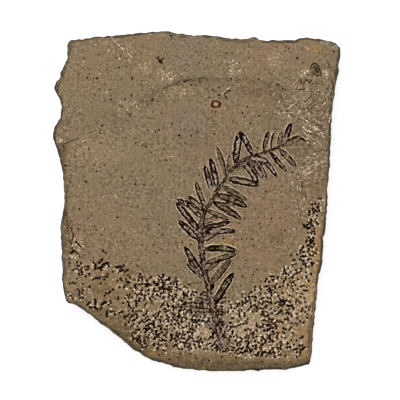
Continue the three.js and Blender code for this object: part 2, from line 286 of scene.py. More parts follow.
# The plate starts flat at its bedding plane. It is stretched upward while its surface is divided,
# which gives it finer faces up its sides.
plate_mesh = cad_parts["shale_slab"].data.copy()
plate_mesh.name = "shale_plate"
plate_mesh.materials.clear()
plate_bm = bmesh.new()
plate_bm.from_mesh(plate_mesh)
bmesh.ops.remove_doubles(plate_bm, verts=plate_bm.verts, dist=0.01 * MM)
for vertex in plate_bm.verts:
    vertex.co.z = min(vertex.co.z, BEDDING_PLANE * MM) * RIM_STRETCH
plate_bm.to_mesh(plate_mesh)
plate_bm.free()
plate = in_scene("shale_plate", plate_mesh)
remesh = plate.modifiers.new("fine_faces", "REMESH")
remesh.mode = "VOXEL"
remesh.voxel_size = VOXEL
fine_plate = plate.evaluated_get(bpy.context.evaluated_depsgraph_get())
plate_mesh = bpy.data.meshes.new_from_object(fine_plate)
plate.modifiers.clear()
plate.data = plate_mesh

plate_bm = bmesh.new()
plate_bm.from_mesh(plate_mesh)
bmesh.ops.scale(plate_bm, vec=(1, 1, 1 / RIM_STRETCH), verts=plate_bm.verts)
for _ in range(2):
    bmesh.ops.smooth_vert(
        plate_bm, verts=plate_bm.verts, factor=0.5, use_axis_x=True, use_axis_y=True,
        use_axis_z=True,
    )
plate_bm.normal_update()

# The rim of the top: everything within RIM_WIDTH of the broken side. It is worn a little lower, and
# painted shade darkens it.
side_places = [
    vertex.co for vertex in plate_bm.verts
    if abs(vertex.normal.z) < 0.4 and vertex.co.z > RIM_FOOT * MM
]
side_tree = KDTree(len(side_places))
for i, place in enumerate(side_places):
    side_tree.insert((place.x, place.y, 0), i)
side_tree.balance()

zones, tints, marks = (
    plate_bm.verts.layers.float_color.new(name) for name in ("zones", "tints", "marks")
)
for vertex in plate_bm.verts:
    x, y, z = vertex.co / MM
    up = vertex.normal.z
    outward = Vector((vertex.normal.x, vertex.normal.y, 0))
    side = 1 - smooth(0.25, 0.65, abs(up))
    above = 1 if z > UNDERSIDE_TOP else 0
    face = smooth(0.5, 0.9, up) * above
    back = smooth(0.5, 0.9, -up)
    on_top = smooth(*TOP_BAND, z)
    ledge = spots(GREY_LEDGES, x, y)

    beds = uneven(x, y, 9, z * 1.6) + 0.7 * uneven(x, y, 3, z * 3.1 + 9)
    chips = uneven(x, y, 4.5, z / 3 + 4)
    nicks = uneven(x, y, 1.5, 61) + uneven(x, y, 3, 67)
    bulge = 0.22 * beds + 0.2 * chips + 0.28 * nicks + RIM_GROWTH
    hollows = max(0.0, 0.22 * (uneven(x, y, 14, 21) + 0.6 * uneven(x, y, 4, 23)))
    from_side = side_tree.find((x * MM, y * MM, 0))[2] / MM
    rim_here = RIM_WIDTH * (0.8 + 0.7 * uneven(x, y, 3, 51))
    rim = 1 - smooth(0.1 * rim_here, rim_here, from_side)
    vertex.co += outward * side * MM * bulge
    vertex.co.z += MM * flake_lift(x, y) * FLAKE_THICKNESS * on_top
    vertex.co.z += face * MM * bedding_relief(x, y)
    vertex.co.z += back * MM * hollows
    vertex.co.z -= RIM_WEAR * MM * rim * rim * on_top
    vertex.co.z -= LEDGE_DEPTH * MM * ledge * on_top

    below_step = value_on(STEP_LINE, x) - y
    step_shows = smooth(-36, -22, x) * (1 - smooth(27, 38, x)) * above
    # A thin painted shadow along the foot of the step, broken in places.
    step_shadow = math.exp(-(((below_step + 0.1) / 0.32) ** 2)) * step_shows
    step_shadow *= max(0.0, 0.55 + 1.2 * uneven(x, y, 3, 41))
    # Painted shade in a band just below the step, fading away from it.
    shade = smooth(-0.4, 0.4, below_step) * math.exp(-max(0.0, below_step) / 2.4) * step_shows
    # Along the near end of the rough zone the stone is tinted ochre before the lip, and darkened
    # with painted shade, most past the lip where it slopes down.
    near_band = 1 - smooth(-2.4, 0.4, y - near_line(x, y))
    near_band *= (0.45 + 0.55 * smooth(-24, -16, x)) * above
    lip = smooth(0.2, 1.4, -56.6 - y + 1.5 * uneven(x, y, 5, 71))
    # The underside carries the same sorts of stain as the top, in other places.
    stain_x, stain_y = (x, y) if above else (-x, -y)
    pink, lilac, ochre = stone_tints(stain_x, stain_y)
    # Dull stone, the lower strip on the left, and the painted shade from the step and the near band
    # all darken towards one olive.
    dull_and_shade = max(
        spots(DULL_SPOTS, stain_x, stain_y), 0.6 * left_strip(x, y, -0.2, 0.5) * above,
        near_band * (0.62 + 0.3 * lip), 0.5 * shade,
    )
    vertex[tints] = (pink, lilac, max(ochre, 0.6 * near_band * (1 - lip)), dull_and_shade)
    # The painted shade on the rim thins out down the broken side; worn holds how strongly it shows.
    worn = rim * (1 - 0.65 * side * (1 - smooth(*RIM_SHADE_BAND, z)))
    density = crumb_density(x, y)
    vertex[zones] = (density * face, side, worn, spots(SCUFFED_SPOTS, x, y) * face)
    pale = max(spots(PALE_SPOTS, x, y), density**0.6) * face
    vertex[marks] = (step_shadow, pale, spots(STREAK_SPOTS, x, y) * above, ledge * above)
low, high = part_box("shale_slab")
for vertex in plate_bm.verts:
    vertex.co = [min(top, max(foot, at)) for foot, at, top in zip(low, vertex.co, high)]
plate_surface = BVHTree.FromBMesh(plate_bm)
plate_bm.to_mesh(plate_mesh)
plate_bm.free()
plate_mesh.shade_smooth()


def linear(red, green, blue):
    """An RGBA shader colour from 0 to 255 display values."""
    def channel(value):
        value /= 255
        return value / 12.92 if value <= 0.04045 else ((value + 0.055) / 1.055) ** 2.4
    return (channel(red), channel(green), channel(blue), 1)


def node(kind, inputs=None, tree=None, **settings):
    """A new shader node with its settings, and its inputs set or linked.

    It goes into the tree that its linked inputs come from, unless a tree is given.
    """
    inputs = inputs or {}
    linked = {
        socket: value for socket, value in inputs.items()
        if isinstance(value, bpy.types.NodeSocket)
    }
    if tree is None:
        tree = next(iter(linked.values())).id_data
    made = tree.nodes.new(kind)
    for name, value in settings.items():
        setattr(made, name, value)
    for socket, value in inputs.items():
        if socket in linked:
            tree.links.new(value, made.inputs[socket])
        else:
            made.inputs[socket].default_value = value
    return made


def calculate(operation, first, second=0.0):
    """A Math node's value."""
    return node("ShaderNodeMath", {0: first, 1: second}, operation=operation).outputs[0]


def times(first, second):
    return calculate("MULTIPLY", first, second)


def plus(first, second):
    return calculate("ADD", first, second)


def minus(first, second):
    return calculate("SUBTRACT", first, second)


def blend(factor, first, second):
    """A colour between two others."""
    return node("ShaderNodeMix", {0: factor, 6: first, 7: second}, data_type="RGBA").outputs[2]


def rise(value, low, high, start=0.0, end=1.0):
    """A smooth rise from start to end as value goes from low to high."""
    ends = {"Value": value, "From Min": low, "From Max": high, "To Min": start, "To Max": end}
    return node("ShaderNodeMapRange", ends, interpolation_type="SMOOTHSTEP").outputs[0]


def cloud(place, scale, detail=2.0, roughness=0.5, dimensions="3D"):
    """The value of a noise texture with this many features for each metre."""
    inputs = {"Vector": place, "Scale": scale, "Detail": detail, "Roughness": roughness}
    return node("ShaderNodeTexNoise", inputs, noise_dimensions=dimensions).outputs["Fac"]


def shifted(place, offset=(0, 0, 0), scale=(1, 1, 1), turn=0.0):
    """A place stretched, turned about Z and moved by an offset."""
    inputs = {"Vector": place, "Location": offset, "Scale": scale, "Rotation": (0, 0, turn)}
    return node("ShaderNodeMapping", inputs).outputs[0]


OLIVE_TAN = linear(127, 112, 86)
WARM_TAN = linear(131, 111, 85)
PINK_TAN = linear(137, 109, 85)
LILAC_GREY = linear(126, 109, 93)
OCHRE = linear(160, 120, 60)
DULL_AND_SHADE_OLIVE = linear(100, 83, 58)
BRUISED_OLIVE = linear(160, 138, 101)
BRUISED_PINK = linear(168, 139, 111)
CRUMB_BLACK = linear(22, 4, 0)
FAINT_BROWN = linear(70, 47, 26)
CREAM = linear(206, 187, 158)
LEDGE_GREY = linear(158, 150, 134)
EDGE_DARK = linear(84, 74, 56)
EDGE_TAN = linear(122, 105, 80)
RIM_DARK = linear(46, 41, 32)
RUST_HALO = linear(188, 148, 112)
RUST = linear(150, 96, 60)
RUST_RING = linear(34, 10, 2)


def shale_group():
    """The shale's colour, roughness and fine height, for the plate and what lies on it."""
    tree = bpy.data.node_groups.new("shale_stone", "ShaderNodeTree")
    for way, kind, names in (
        ("INPUT", "Vector", ("Place",)),
        ("INPUT", "Float", ("Pink", "Lilac", "Ochre", "Dull and shade", "Crumbs", "Pale")),
        ("OUTPUT", "Color", ("Color",)),
        ("OUTPUT", "Float", ("Roughness", "Height")),
    ):
        for name in names:
            tree.interface.new_socket(name, in_out=way, socket_type="NodeSocket" + kind)
    given = node("NodeGroupInput", tree=tree).outputs
    place = given["Place"]

    colour = blend(rise(cloud(place, 45, 3), 0.35, 0.65), OLIVE_TAN, WARM_TAN)
    blotch = rise(cloud(shifted(place, (0.3, 0, 0)), 160, 3), 0.3, 0.7, 0.5, 1)
    rusty = rise(cloud(shifted(place, (0, 0.7, 0)), 650, 2, 0.6), 0.3, 0.7, 0.5, 1)
    for tint, patches, tinted in (
        ("Pink", blotch, PINK_TAN), ("Lilac", blotch, LILAC_GREY), ("Ochre", rusty, OCHRE)
    ):
        colour = blend(times(given[tint], patches), colour, tinted)
    bruised = rise(cloud(shifted(place, (0.9, 0, 0)), 330, 2, 0.6), 0.42, 0.58)
    bruised = blend(bruised, BRUISED_OLIVE, BRUISED_PINK)
    colour = blend(times(given["Pale"], 0.66), colour, bruised)
    # Dull stone and painted shade both darken the colour towards the same olive.
    colour = blend(given["Dull and shade"], colour, DULL_AND_SHADE_OLIVE)

    # Lighter and darker mottling, half a millimetre to two millimetres across.
    calm = rise(cloud(shifted(place, (0, 0.5, 0)), 110, 2), 0.35, 0.6, 0.45, 1.2)
    mottle = cloud(shifted(place, (0, 0.2, 0)), 420, 2, 0.6)
    grain = cloud(shifted(place, (0, 0, 0.1)), 1250, 1, 0.6)
    streak = cloud(shifted(place, scale=(260, 700, 1)), 1, 3, 0.65)
    lightness = times(rise(grain, 0.3, 0.7, -0.31, 0.27), calm)
    lightness = plus(lightness, rise(mottle, 0.3, 0.7, -0.05, 0.05))
    lightness = plus(lightness, times(rise(streak, 0.3, 0.7, -0.35, 0.35), given["Dull and shade"]))
    lit = node("ShaderNodeHueSaturation", {"Color": colour, "Value": plus(lightness, 1.0)})

    # Small brown grains lie scattered all over.
    grains = node("ShaderNodeTexVoronoi", {"Vector": place, "Scale": 520}, voronoi_dimensions="2D")
    chance = node("ShaderNodeSeparateColor", {"Color": grains.outputs["Color"]}).outputs
    size = rise(chance[0], 0.2, 1.0, 0.02, 0.24)
    brown = rise(minus(grains.outputs["Distance"], size), -0.05, 0.05, 1, 0)
    brown = times(brown, rise(chance[1], 0.3, 0.9, 0.1, 0.7))

    # Dark specks and pale flecks crowd the rough end: the high and low parts of one fine noise.
    fleck = cloud(place, 1050, 1, 0.6, "2D")
    over = minus(fleck, rise(given["Crumbs"], 0, 1, 0.80, 0.605))
    dark = rise(over, -0.015, 0.03)
    fringe = rise(over, -0.05, -0.015, 0, 0.3)
    pale = rise(minus(rise(given["Pale"], 0, 1, 0.25, 0.42), fleck), -0.02, 0.06)
    colour = blend(brown, lit.outputs[0], FAINT_BROWN)
    colour = blend(times(pale, 0.85), colour, CREAM)
    colour = blend(fringe, colour, FAINT_BROWN)
    colour = blend(times(dark, 0.98), colour, CRUMB_BLACK)

    height = plus(plus(times(grain, 0.8), times(mottle, 0.5)), times(pale, 0.5))
    height = minus(height, times(dark, 0.6))
    roughness = rise(mottle, 0.2, 0.8, 0.78, 0.95)
    node("NodeGroupOutput", {"Color": colour, "Roughness": roughness, "Height": height})
    return tree


SHALE = shale_group()


def empty_material(name):
    """A new node material with nothing in it."""
    made = bpy.data.materials.new(name)
    made.use_nodes = True
    made.node_tree.nodes.clear()
    return made, made.node_tree


def own_place(tree):
    """The place on the piece itself."""
    return node("ShaderNodeTexCoord", tree=tree).outputs["Object"]


def channels(tree, name):
    """The three channels of a colour attribute, and its alpha."""
    source = node("ShaderNodeAttribute", tree=tree, attribute_name=name).outputs
    split = node("ShaderNodeSeparateColor", {"Color": source["Color"]}).outputs
    return split[0], split[1], split[2], source["Alpha"]


def stone_in(place, pink, lilac, ochre, dull_and_shade, crumbs, pale):
    """The shale group's outputs in a material."""
    inputs = {
        "Place": place, "Pink": pink, "Lilac": lilac, "Ochre": ochre, "Dull and shade": dull_and_shade,
        "Crumbs": crumbs, "Pale": pale,
    }
    return node("ShaderNodeGroup", inputs, node_tree=SHALE).outputs


def bumpy(height, strength, depth):
    """A normal tilted by a height."""
    inputs = {"Height": height, "Strength": strength, "Distance": depth}
    return node("ShaderNodeBump", inputs).outputs[0]


def surface(colour, roughness, specular, more=None, tree=None):
    """The surface of a material."""
    inputs = {"Base Color": colour, "Roughness": roughness, "Specular IOR Level": specular}
    made = node("ShaderNodeBsdfPrincipled", inputs | (more or {}), tree)
    node("ShaderNodeOutputMaterial", {"Surface": made.outputs[0]})


STAIN_PLACE = (6.9 * MM, 35 * MM, BEDDING_PLANE * MM)
STAIN_SIZE = (1.95 * MM, 1.4 * MM, 4 * MM)


def shale_material():
    made, tree = empty_material("brown_shale")
    place = own_place(tree)
    crumbs, side, rim, scuffed = channels(tree, "zones")
    step_shadow, pale, streaks, ledges = channels(tree, "marks")
    stone = stone_in(place, *channels(tree, "tints"), crumbs, pale)

    # Fine parallel scratches run down to the right on the right side.
    lines = cloud(shifted(shifted(place, turn=0.58), scale=(130, 1300, 1)), 1, 2, 0.6)
    lines = times(rise(lines, 0.54, 0.66), streaks)
    colour = blend(times(lines, 0.25), stone["Color"], CREAM)

    # Scuffed places are mottled more strongly, in short pale and brown dabs.
    dabs = cloud(shifted(place, (0, 0.9, 0)), 1000, 2, 0.6)
    colour = blend(times(rise(dabs, 0.54, 0.7, 0, 0.36), scuffed), colour, CREAM)
    colour = blend(times(rise(dabs, 0.32, 0.5, 0.7, 0), scuffed), colour, FAINT_BROWN)

    # The ledges on the rim are a bare, pale grey.
    colour = blend(times(ledges, 0.7), colour, LEDGE_GREY)

    # A rust stain: a dark ring round a paler middle, with an orange halo.
    centred = shifted(
        place, [-at / size for at, size in zip(STAIN_PLACE, STAIN_SIZE)],
        [1 / size for size in STAIN_SIZE],
    )
    away = node("ShaderNodeVectorMath", {0: centred}, operation="LENGTH").outputs["Value"]
    away = plus(away, rise(cloud(place, 700, 1, 0.6), 0.3, 0.7, -0.1, 0.1))
    halo = rise(away, 0.7, 1.7, 0.6, 0)
    colour = blend(halo, colour, RUST_HALO)
    colour = blend(rise(cloud(place, 1300, 1), 0.4, 0.6, 0, halo), colour, RUST)
    ring = calculate("ABSOLUTE", minus(away, 0.8))
    colour = blend(rise(ring, 0.15, 0.3, 0.98, 0), colour, RUST_RING)

    # The broken rim shows thin beds, and painted shade darkens the edge of the top.
    beds = cloud(shifted(place, scale=(30, 30, 1000)), 1, 4, 0.6)
    partings = cloud(shifted(place, scale=(60, 60, 2600)), 1, 2, 0.6)
    broken = blend(rise(beds, 0.38, 0.6), EDGE_DARK, EDGE_TAN)
    broken = blend(rise(partings, 0.54, 0.66, 0, 0.55), broken, RIM_DARK)
    colour = blend(side, colour, broken)
    colour = blend(times(rim, 0.85), colour, RIM_DARK)
    # Painted shadow along the foot of the step.
    colour = blend(times(step_shadow, 0.4), colour, RIM_DARK)

    height = plus(stone["Height"], times(minus(beds, partings), side))
    height = plus(height, times(lines, 0.6))
    surface(colour, stone["Roughness"], 0.15, {"Normal": bumpy(height, 0.8, 0.16 * MM)})
    return made


plate_mesh.materials.append(shale_material())
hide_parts("shale_slab")
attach(plate, "root")

# ------------------------------------------------------------ plant crumbs and fine dark lines
# Crumbs of carbonised plant and dark mineral grains, most of them about a millimetre long,
# pressed into the bedding plane. They crowd its rough near end and lie singly elsewhere.

# Crumbs that lie singly: x, y.
SINGLE_CRUMBS = [
    (-6.7, -56.1), (-2.4, -54.9), (-0.3, -56.4), (9.1, -56.1), (14.2, -56.4), (23.5, -57.8),
    (31.4, -57.8), (25.7, -55), (-13.5, -55.3), (-17.5, -52), (4.4, -57.3), (18.6, -58.2),
    (-9.8, -57), (-35.2, 52.7), (-32.1, 47.6), (-39.3, 44.5), (-35.8, 44.3), (-25.8, 36.7),
    (-30.9, 36.7), (-23.6, 38.4), (-24.2, 31.1), (-12.7, 31.8), (-13.8, 36), (-16, 36.5),
    (-17.8, 25.8), (-14.8, 25.2), (-13.6, 25.8), (-8.8, 27.9), (-2, 23.6), (0.4, 24.9),
    (-18.4, 19.8), (-16.3, 17.6), (-22, 21), (-26.8, 8.5), (-22.1, 6.3), (-19, 6), (-11.1, 14.9),
    (-38.9, 18.9), (-43.9, 16.2), (-36.1, 10.8), (-39.8, 7.2), (-45.5, 6.9), (-48, 19.9),
    (-47.2, 13), (-48.5, 36.9), (-1.1, 13.8), (-33.9, 27.3), (-6.2, 23.8), (-23.3, -1.9),
    (-42.2, -2.8), (-19.8, 43.4), (-23.3, 44.4), (-27.8, 48.1), (10.8, 53.3), (0.9, 49.9),
    (18.7, 51.7), (33.2, 55), (36.2, 51.5), (49.3, 53.9), (22.2, 44), (43.3, 40.4), (1.2, 42.8),
    (18.3, 34.1), (16.5, 31.8), (14.4, 28.2), (19.3, 28), (22.5, 30.8), (36.9, 29.6), (8, 38.2),
    (6.9, 32.3), (6.5, 24.3), (21.9, 19.2), (24.9, 3.6), (23.5, 1.3), (0.9, 9.5), (44.5, 0.9),
    (-28.6, -5.8), (-18.4, -6.2), (-36.8, -9), (-36, -10.2), (-34.3, -12), (-42.8, -9.8),
    (-33.6, -17.9), (-32.6, -18.6), (-12.3, -12.1), (-13.5, -8.3), (-13, -17.2), (-14.3, -18.5),
    (-5.2, -14.8), (22.6, -8), (26.9, -6.2), (30, -6), (17.3, -6.2), (16.2, -13.5), (20, -13.6),
    (20.3, -15.9), (9.7, -13.4), (17.9, -21.2), (21.7, -24.6), (20.2, -26.3), (16.4, -26.8),
    (15.8, -30.4), (31.6, -10.5), (36.9, -7.6), (34, -19.3), (-2, 41.9), (5.7, 40.2), (6.5, 39.6),
    (4.4, 37.4), (8, 41), (12.5, 44.2),
]
# Dark threads, cracks and splinters, then fainter brown ones: x, y at both ends, and width. The
# short dark threads that run along the step line are painted shadow at its foot.
DARK_THREADS = [
    (39, 30, 41.2, 28.6, 0.2), (43, 28, 46, 26.4, 0.2), (39.6, 25.2, 42.6, 22.9, 0.22),
    (-44.3, -12.1, -44.5, -13.6, 0.4), (-44.5, -17.5, -42.4, -19, 0.6),
    (-45.9, -19.7, -45.6, -21.1, 0.5), (-42.4, -19, -42, -20.4, 0.45), (42.6, 24.2, 45.8, 22, 0.2),
    (40.6, 22.7, 43.4, 20.8, 0.2), (44.9, 18.9, 46.4, 17.6, 0.2), (-11.6, 40.8, -9.4, 41.8, 0.18),
    (-8.2, 42.2, -6.2, 42.9, 0.18), (-4.6, 43.3, -1.4, 44, 0.22), (0.6, 44.2, 3.4, 44.4, 0.2),
    (-14.6, 51.7, -12.3, 50, 0.54), (-12, 51.7, -13.1, 49.8, 0.54),
    (-13.4, 50.4, -12.4, 49.8, 0.65), (-9.6, 59.8, -8.9, 58.3, 0.43),
    (-4.7, 42.8, -3.1, 43.8, 0.36), (9.9, 38.7, 12.2, 40.2, 0.6), (10.1, 38.1, 10.9, 37.2, 0.42),
    (28.9, 42.3, 30, 41.7, 0.47), (30.7, 40.7, 32.1, 40, 0.36), (36.7, 40.1, 38.9, 40.4, 0.36),
    (40.9, 47.4, 41.3, 49.1, 0.4), (41.4, 49.2, 42.6, 49.8, 0.4), (42.6, 49.7, 43.9, 48.6, 0.4),
    (43.5, 48.5, 44.9, 46.7, 0.32), (44.9, 46.7, 44.5, 45.3, 0.32), (44.9, 45.4, 43, 45.1, 0.45),
    (43.1, 45.1, 41.2, 46.6, 0.4), (42.9, 48.2, 43.6, 46, 0.4), (-47.5, 20.7, -45.3, 21.7, 0.29),
    (-45.3, 21.7, -42.9, 22.6, 0.25), (-46.1, -8.5, -45, -10.6, 0.36),
    (-45, -10.6, -44.3, -12.1, 0.43), (-43.8, -14.3, -41.5, -16.5, 0.75),
    (-34, -17.5, -32.3, -18.7, 0.54), (33.5, -33.8, 35.2, -34.7, 0.43),
    (35.4, -35, 37.8, -36.8, 0.43), (-46.7, -11.1, -46.5, -14.3, 0.29),
    (-46.5, -15, -46.8, -18.3, 0.29), (-45.8, -12.5, -45.7, -15, 0.25),
    (-38.8, 24.6, -35.9, 25.9, 0.22), (-21.6, -54.9, -19.8, -53.4, 0.36),
    (-21.5, -50.7, -19.3, -51.9, 0.47), (12.7, 53.7, 12.9, 53, 0.22),
]
BROWN_STROKES = [
    (38.3, 42.2, 39.4, 44, 0.5), (39.4, 44, 40.4, 42.6, 0.5), (40.4, 42.6, 41.5, 43.7, 0.45),
    (37.2, 43.7, 37.9, 41.9, 0.45), (41.5, 42.2, 43, 42.9, 0.4), (48.4, 43.7, 49.4, 40.8, 0.5),
    (46.6, 40.1, 48, 41.5, 0.4), (47.3, 37.5, 48.7, 39.3, 0.4), (45.1, 35, 46.6, 36.8, 0.4),
    (38.6, 35.7, 40.8, 37.2, 0.4), (41.2, 33.6, 43, 35, 0.4), (39.4, 34.3, 40.4, 32.9, 0.4),
    (46.9, 50.4, 47.8, 48.4, 0.35), (37.5, 33.8, 39, 33.2, 0.35), (43.6, 32.2, 45.2, 33.4, 0.4),
    (32.6, 40.4, 34.8, 38.9, 0.3), (29.6, 37.6, 31.6, 36.6, 0.3), (42.4, 48.8, 42.7, 46.4, 0.45),
    (43.7, 48, 44.6, 45.6, 0.45), (-46.9, -4.9, -46.9, -7.5, 0.35),
    (-46.8, -7.5, -46.3, -11, 0.35), (-46.3, -11, -46.6, -16.5, 0.4),
    (-46.6, -16.5, -46.2, -21.9, 0.4), (39, 4, 39.2, 0, 0.3), (37.6, 6.8, 38.4, 2, 0.3),
    (35.8, 8.4, 36.8, 5, 0.3), (37.2, 8.9, 38.2, 6.6, 0.35), (-46.9, -1.3, -46.8, -4.9, 0.35),
    (-45.3, -9.1, -44.2, -12.1, 0.55), (-44.2, -12.1, -45.3, -15.7, 0.6),
    (-45.6, -16, -46, -20, 0.5),
]

CRUMB_SIDES = 6
CRUMB_SUNK = 0.12
CRUMB_FRINGE = 0.15
LOWEST_GRAIN = BEDDING_PLANE - 0.9
DEEPEST_FOOT = BEDDING_PLANE - 1.2
CRUMB_HEIGHT = 0.06
FAINT_HEIGHT = 0.04


def surface_height(x, y):
    """Height of the finished plate at x, y, in millimetres."""
    hit = plate_surface.ray_cast(Vector((x * MM, y * MM, 20 * MM)), Vector((0, 0, -1)))
    return hit[0].z / MM if hit[0] else 0.0


def finished_piece(bm, name):
    """A smooth-shaded object from a bmesh."""
    bmesh.ops.recalc_face_normals(bm, faces=bm.faces)
    mesh = bpy.data.meshes.new(name)
    bm.to_mesh(mesh)
    bm.free()
    mesh.shade_smooth()
    return in_scene(name, mesh)


class Grains:
    """Small grains pressed into the bedding plane and joined in one mesh."""

    def __init__(self):
        self.bm = bmesh.new()
        self.tone = self.bm.verts.layers.float_color.new("tone")

    def press(self, x, y, length, width, turn, height, shade, fringe=0.0):
        """Presses in one low, uneven grain; fringe is how much browner its foot is."""
        if surface_height(x, y) < LOWEST_GRAIN:
            return
        made = bmesh.ops.create_cone(
            self.bm, cap_ends=True, cap_tris=False, segments=CRUMB_SIDES, radius1=0.5,
            radius2=0.42, depth=1,
        )
        cosine, sine = math.cos(turn), math.sin(turn)
        for vertex in made["verts"]:
            along, across, up = vertex.co
            ragged = 1 + 0.7 * noise.noise((x * 7 + along * 3, y * 7 + across * 3, 5))
            along *= length * ragged
            across *= width * ragged
            place_x = x + along * cosine - across * sine
            place_y = y + along * sine + across * cosine
            place_z = surface_height(place_x, place_y)
            if place_z < DEEPEST_FOOT:
                place_x, place_y = x, y
                place_z = surface_height(x, y)
            place_z += height if up > 0 else -CRUMB_SUNK
            vertex.co = Vector((place_x, place_y, place_z)) * MM
            here = shade if up > 0 else shade + fringe
            vertex[self.tone] = (here, here, here, 1)

    def lay_out_map(self):
        """Gives each grain two squares of its own on the colour map, for its top and its foot."""
        layer = self.bm.loops.layers.uv.new("OFBake")
        ends = [face for face in self.bm.faces if len(face.verts) == CRUMB_SIDES]
        columns = math.ceil(math.sqrt(len(ends)))
        mapped = set()
        square = 0
        for end in ends:
            if end in mapped:
                continue
            other = next(
                face for edge in end.verts[0].link_edges for vertex in edge.verts
                for face in vertex.link_faces if len(face.verts) == CRUMB_SIDES and face != end
            )
            mapped.update((end, other))
            foot, top = sorted((end, other), key=lambda face: face.calc_center_median().z)
            middle = (foot.calc_center_median() + top.calc_center_median()) / 2
            rims = foot.verts[:] + top.verts[:]
            reach = 1.5 * max((vertex.co - middle).xy.length for vertex in rims)
            for face in {face for vertex in top.verts for face in vertex.link_faces} | {foot}:
                at = square + (face == foot)
                centre = Vector((at % columns + 0.5, at // columns + 0.5))
                for loop in face.loops:
                    spread = 1.45 if loop.vert in foot.verts[:] else 1.0
                    away = (loop.vert.co - middle).xy * spread / reach
                    loop[layer].uv = (centre + 0.44 * away) / columns
            square += 2

    def finish(self, name):
        """The grains as one mapped object."""
        self.lay_out_map()
        return finished_piece(self.bm, name)


def along_stroke(ends, extra, step, stretch, gaps=0.0):
    """Where each grain of a stroke lies, its length and its direction; some may be left out."""
    x0, y0, x1, y1 = ends
    length = math.hypot(x1 - x0, y1 - y0) + extra
    pieces = max(1, round(length / step))
    turn = math.atan2(y1 - y0, x1 - x0)
    for i in range(pieces):
        part = (i + 0.5) / pieces
        if gaps and pieces > 2 and draw.random() < gaps:
            continue
        yield x0 + (x1 - x0) * part, y0 + (y1 - y0) * part, stretch * length / pieces, turn


crumb_grains = Grains()
draw = random.Random(7)

for x, y in SINGLE_CRUMBS:
    length = draw.uniform(0.75, 1.15)
    width = length * draw.uniform(0.7, 0.95)
    turn = draw.uniform(0, math.pi)
    crumb_grains.press(x, y, length, width, turn, CRUMB_HEIGHT, draw.uniform(0, 0.15), CRUMB_FRINGE)
for *ends, width in DARK_THREADS:
    for x, y, length, turn in along_stroke(ends, 0.4, 1.1, 1.3):
        turn += draw.uniform(-0.2, 0.2)
        crumb_grains.press(x, y, length, 1.3 * width, turn, CRUMB_HEIGHT, draw.uniform(0, 0.25))
for *ends, width in BROWN_STROKES:
    for x, y, length, turn in along_stroke(ends, 0.3, 1.2, 1.25):
        turn += draw.uniform(-0.3, 0.3)
        crumb_grains.press(x, y, length, 1.2 * width, turn, FAINT_HEIGHT, draw.uniform(0.35, 0.9))

# The crowd at the rough end: grains keep a little apart, and some lie in short wandering rows.
TRIES = 9500
APART = 0.89
taken = {}
bruises = []


def is_free(x, y):
    """Whether no crumb lies closer than APART to x, y."""
    column, line = int(x // APART), int(y // APART)
    return not any(
        math.hypot(x - other_x, y - other_y) < APART
        for i in (column - 1, column, column + 1) for j in (line - 1, line, line + 1)
        for other_x, other_y in taken.get((i, j), ())
    )


for _ in range(TRIES):
    x, y = draw.uniform(-48, 45), draw.uniform(-56, 6)
    if draw.random() > crumb_density(x, y) or not is_free(x, y):
        continue
    taken.setdefault((int(x // APART), int(y // APART)), []).append((x, y))
    turn = draw.gauss(0.9, 0.8)
    row = 1 + (draw.random() < 0.35)
    shade = 0.9 * draw.random() ** 6
    size = 1 + 0.2 * spots(DENSE_SPOTS, x, y)
    for _ in range(row):
        length = size * draw.uniform(0.8, 1.6)
        width = size * draw.uniform(0.77, 1.12)
        height = draw.uniform(0.08, 0.2)
        crumb_grains.press(x, y, length, width, turn, height, shade, CRUMB_FRINGE)
        for _ in range(1 + (draw.random() < 0.8)):
            beside = turn + draw.choice((0.5, 1.5, draw.uniform(0, 2))) * math.pi
            away = draw.uniform(0.65, 1.1)
            bruises.append((x + away * math.cos(beside), y + away * math.sin(beside), turn))
        x += 0.75 * length * math.cos(turn)
        y += 0.75 * length * math.sin(turn)
        turn += draw.uniform(-1.0, 1.0)

# A thin scatter of smaller, browner crumbs over the stone, thickest at the rough end.
SCATTERED = 1150
SCATTERED_ALL_OVER = 430
for i in range(SCATTERED):
    x, y = draw.uniform(-50, 49), draw.uniform(-58, 60)
    at_rough_end = i > SCATTERED_ALL_OVER
    if at_rough_end and (y > 4 or draw.random() > rough_zone(x, y) - 0.8 * crumb_density(x, y)):
        continue
    length = draw.uniform(0.35, 0.65)
    width = length * draw.uniform(0.6, 0.95)
    turn = draw.uniform(0, math.pi)
    crumb_grains.press(x, y, length, width, turn, FAINT_HEIGHT, draw.uniform(0.4, 1.1))

crumbs = crumb_grains.finish("plant_crumbs")
CRUMB_BROWN = linear(96, 68, 40)
LILAC_CHIP = linear(214, 196, 184)


def crumb_material():
    made, tree = empty_material("carbon_crumbs")
    tone = channels(tree, "tone")[0]
    speckled = rise(cloud(own_place(tree), 2500, 2, 0.6), 0.3, 0.7, -0.15, 0.1)
    colour = blend(plus(tone, speckled), CRUMB_BLACK, CRUMB_BROWN)
    surface(blend(rise(tone, 1.1, 2.2), colour, LILAC_CHIP), 0.9, 0.0)
    return made


crumbs.data.materials.append(crumb_material())
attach(crumbs, "root")

# ------------------------------------------------------------ pale scratches and flecks
# Thin cream scrapes and chips where the shale's skin has been bruised: a long scratch at the far
# left, chips along the step, and strokes that run side by side on the right.

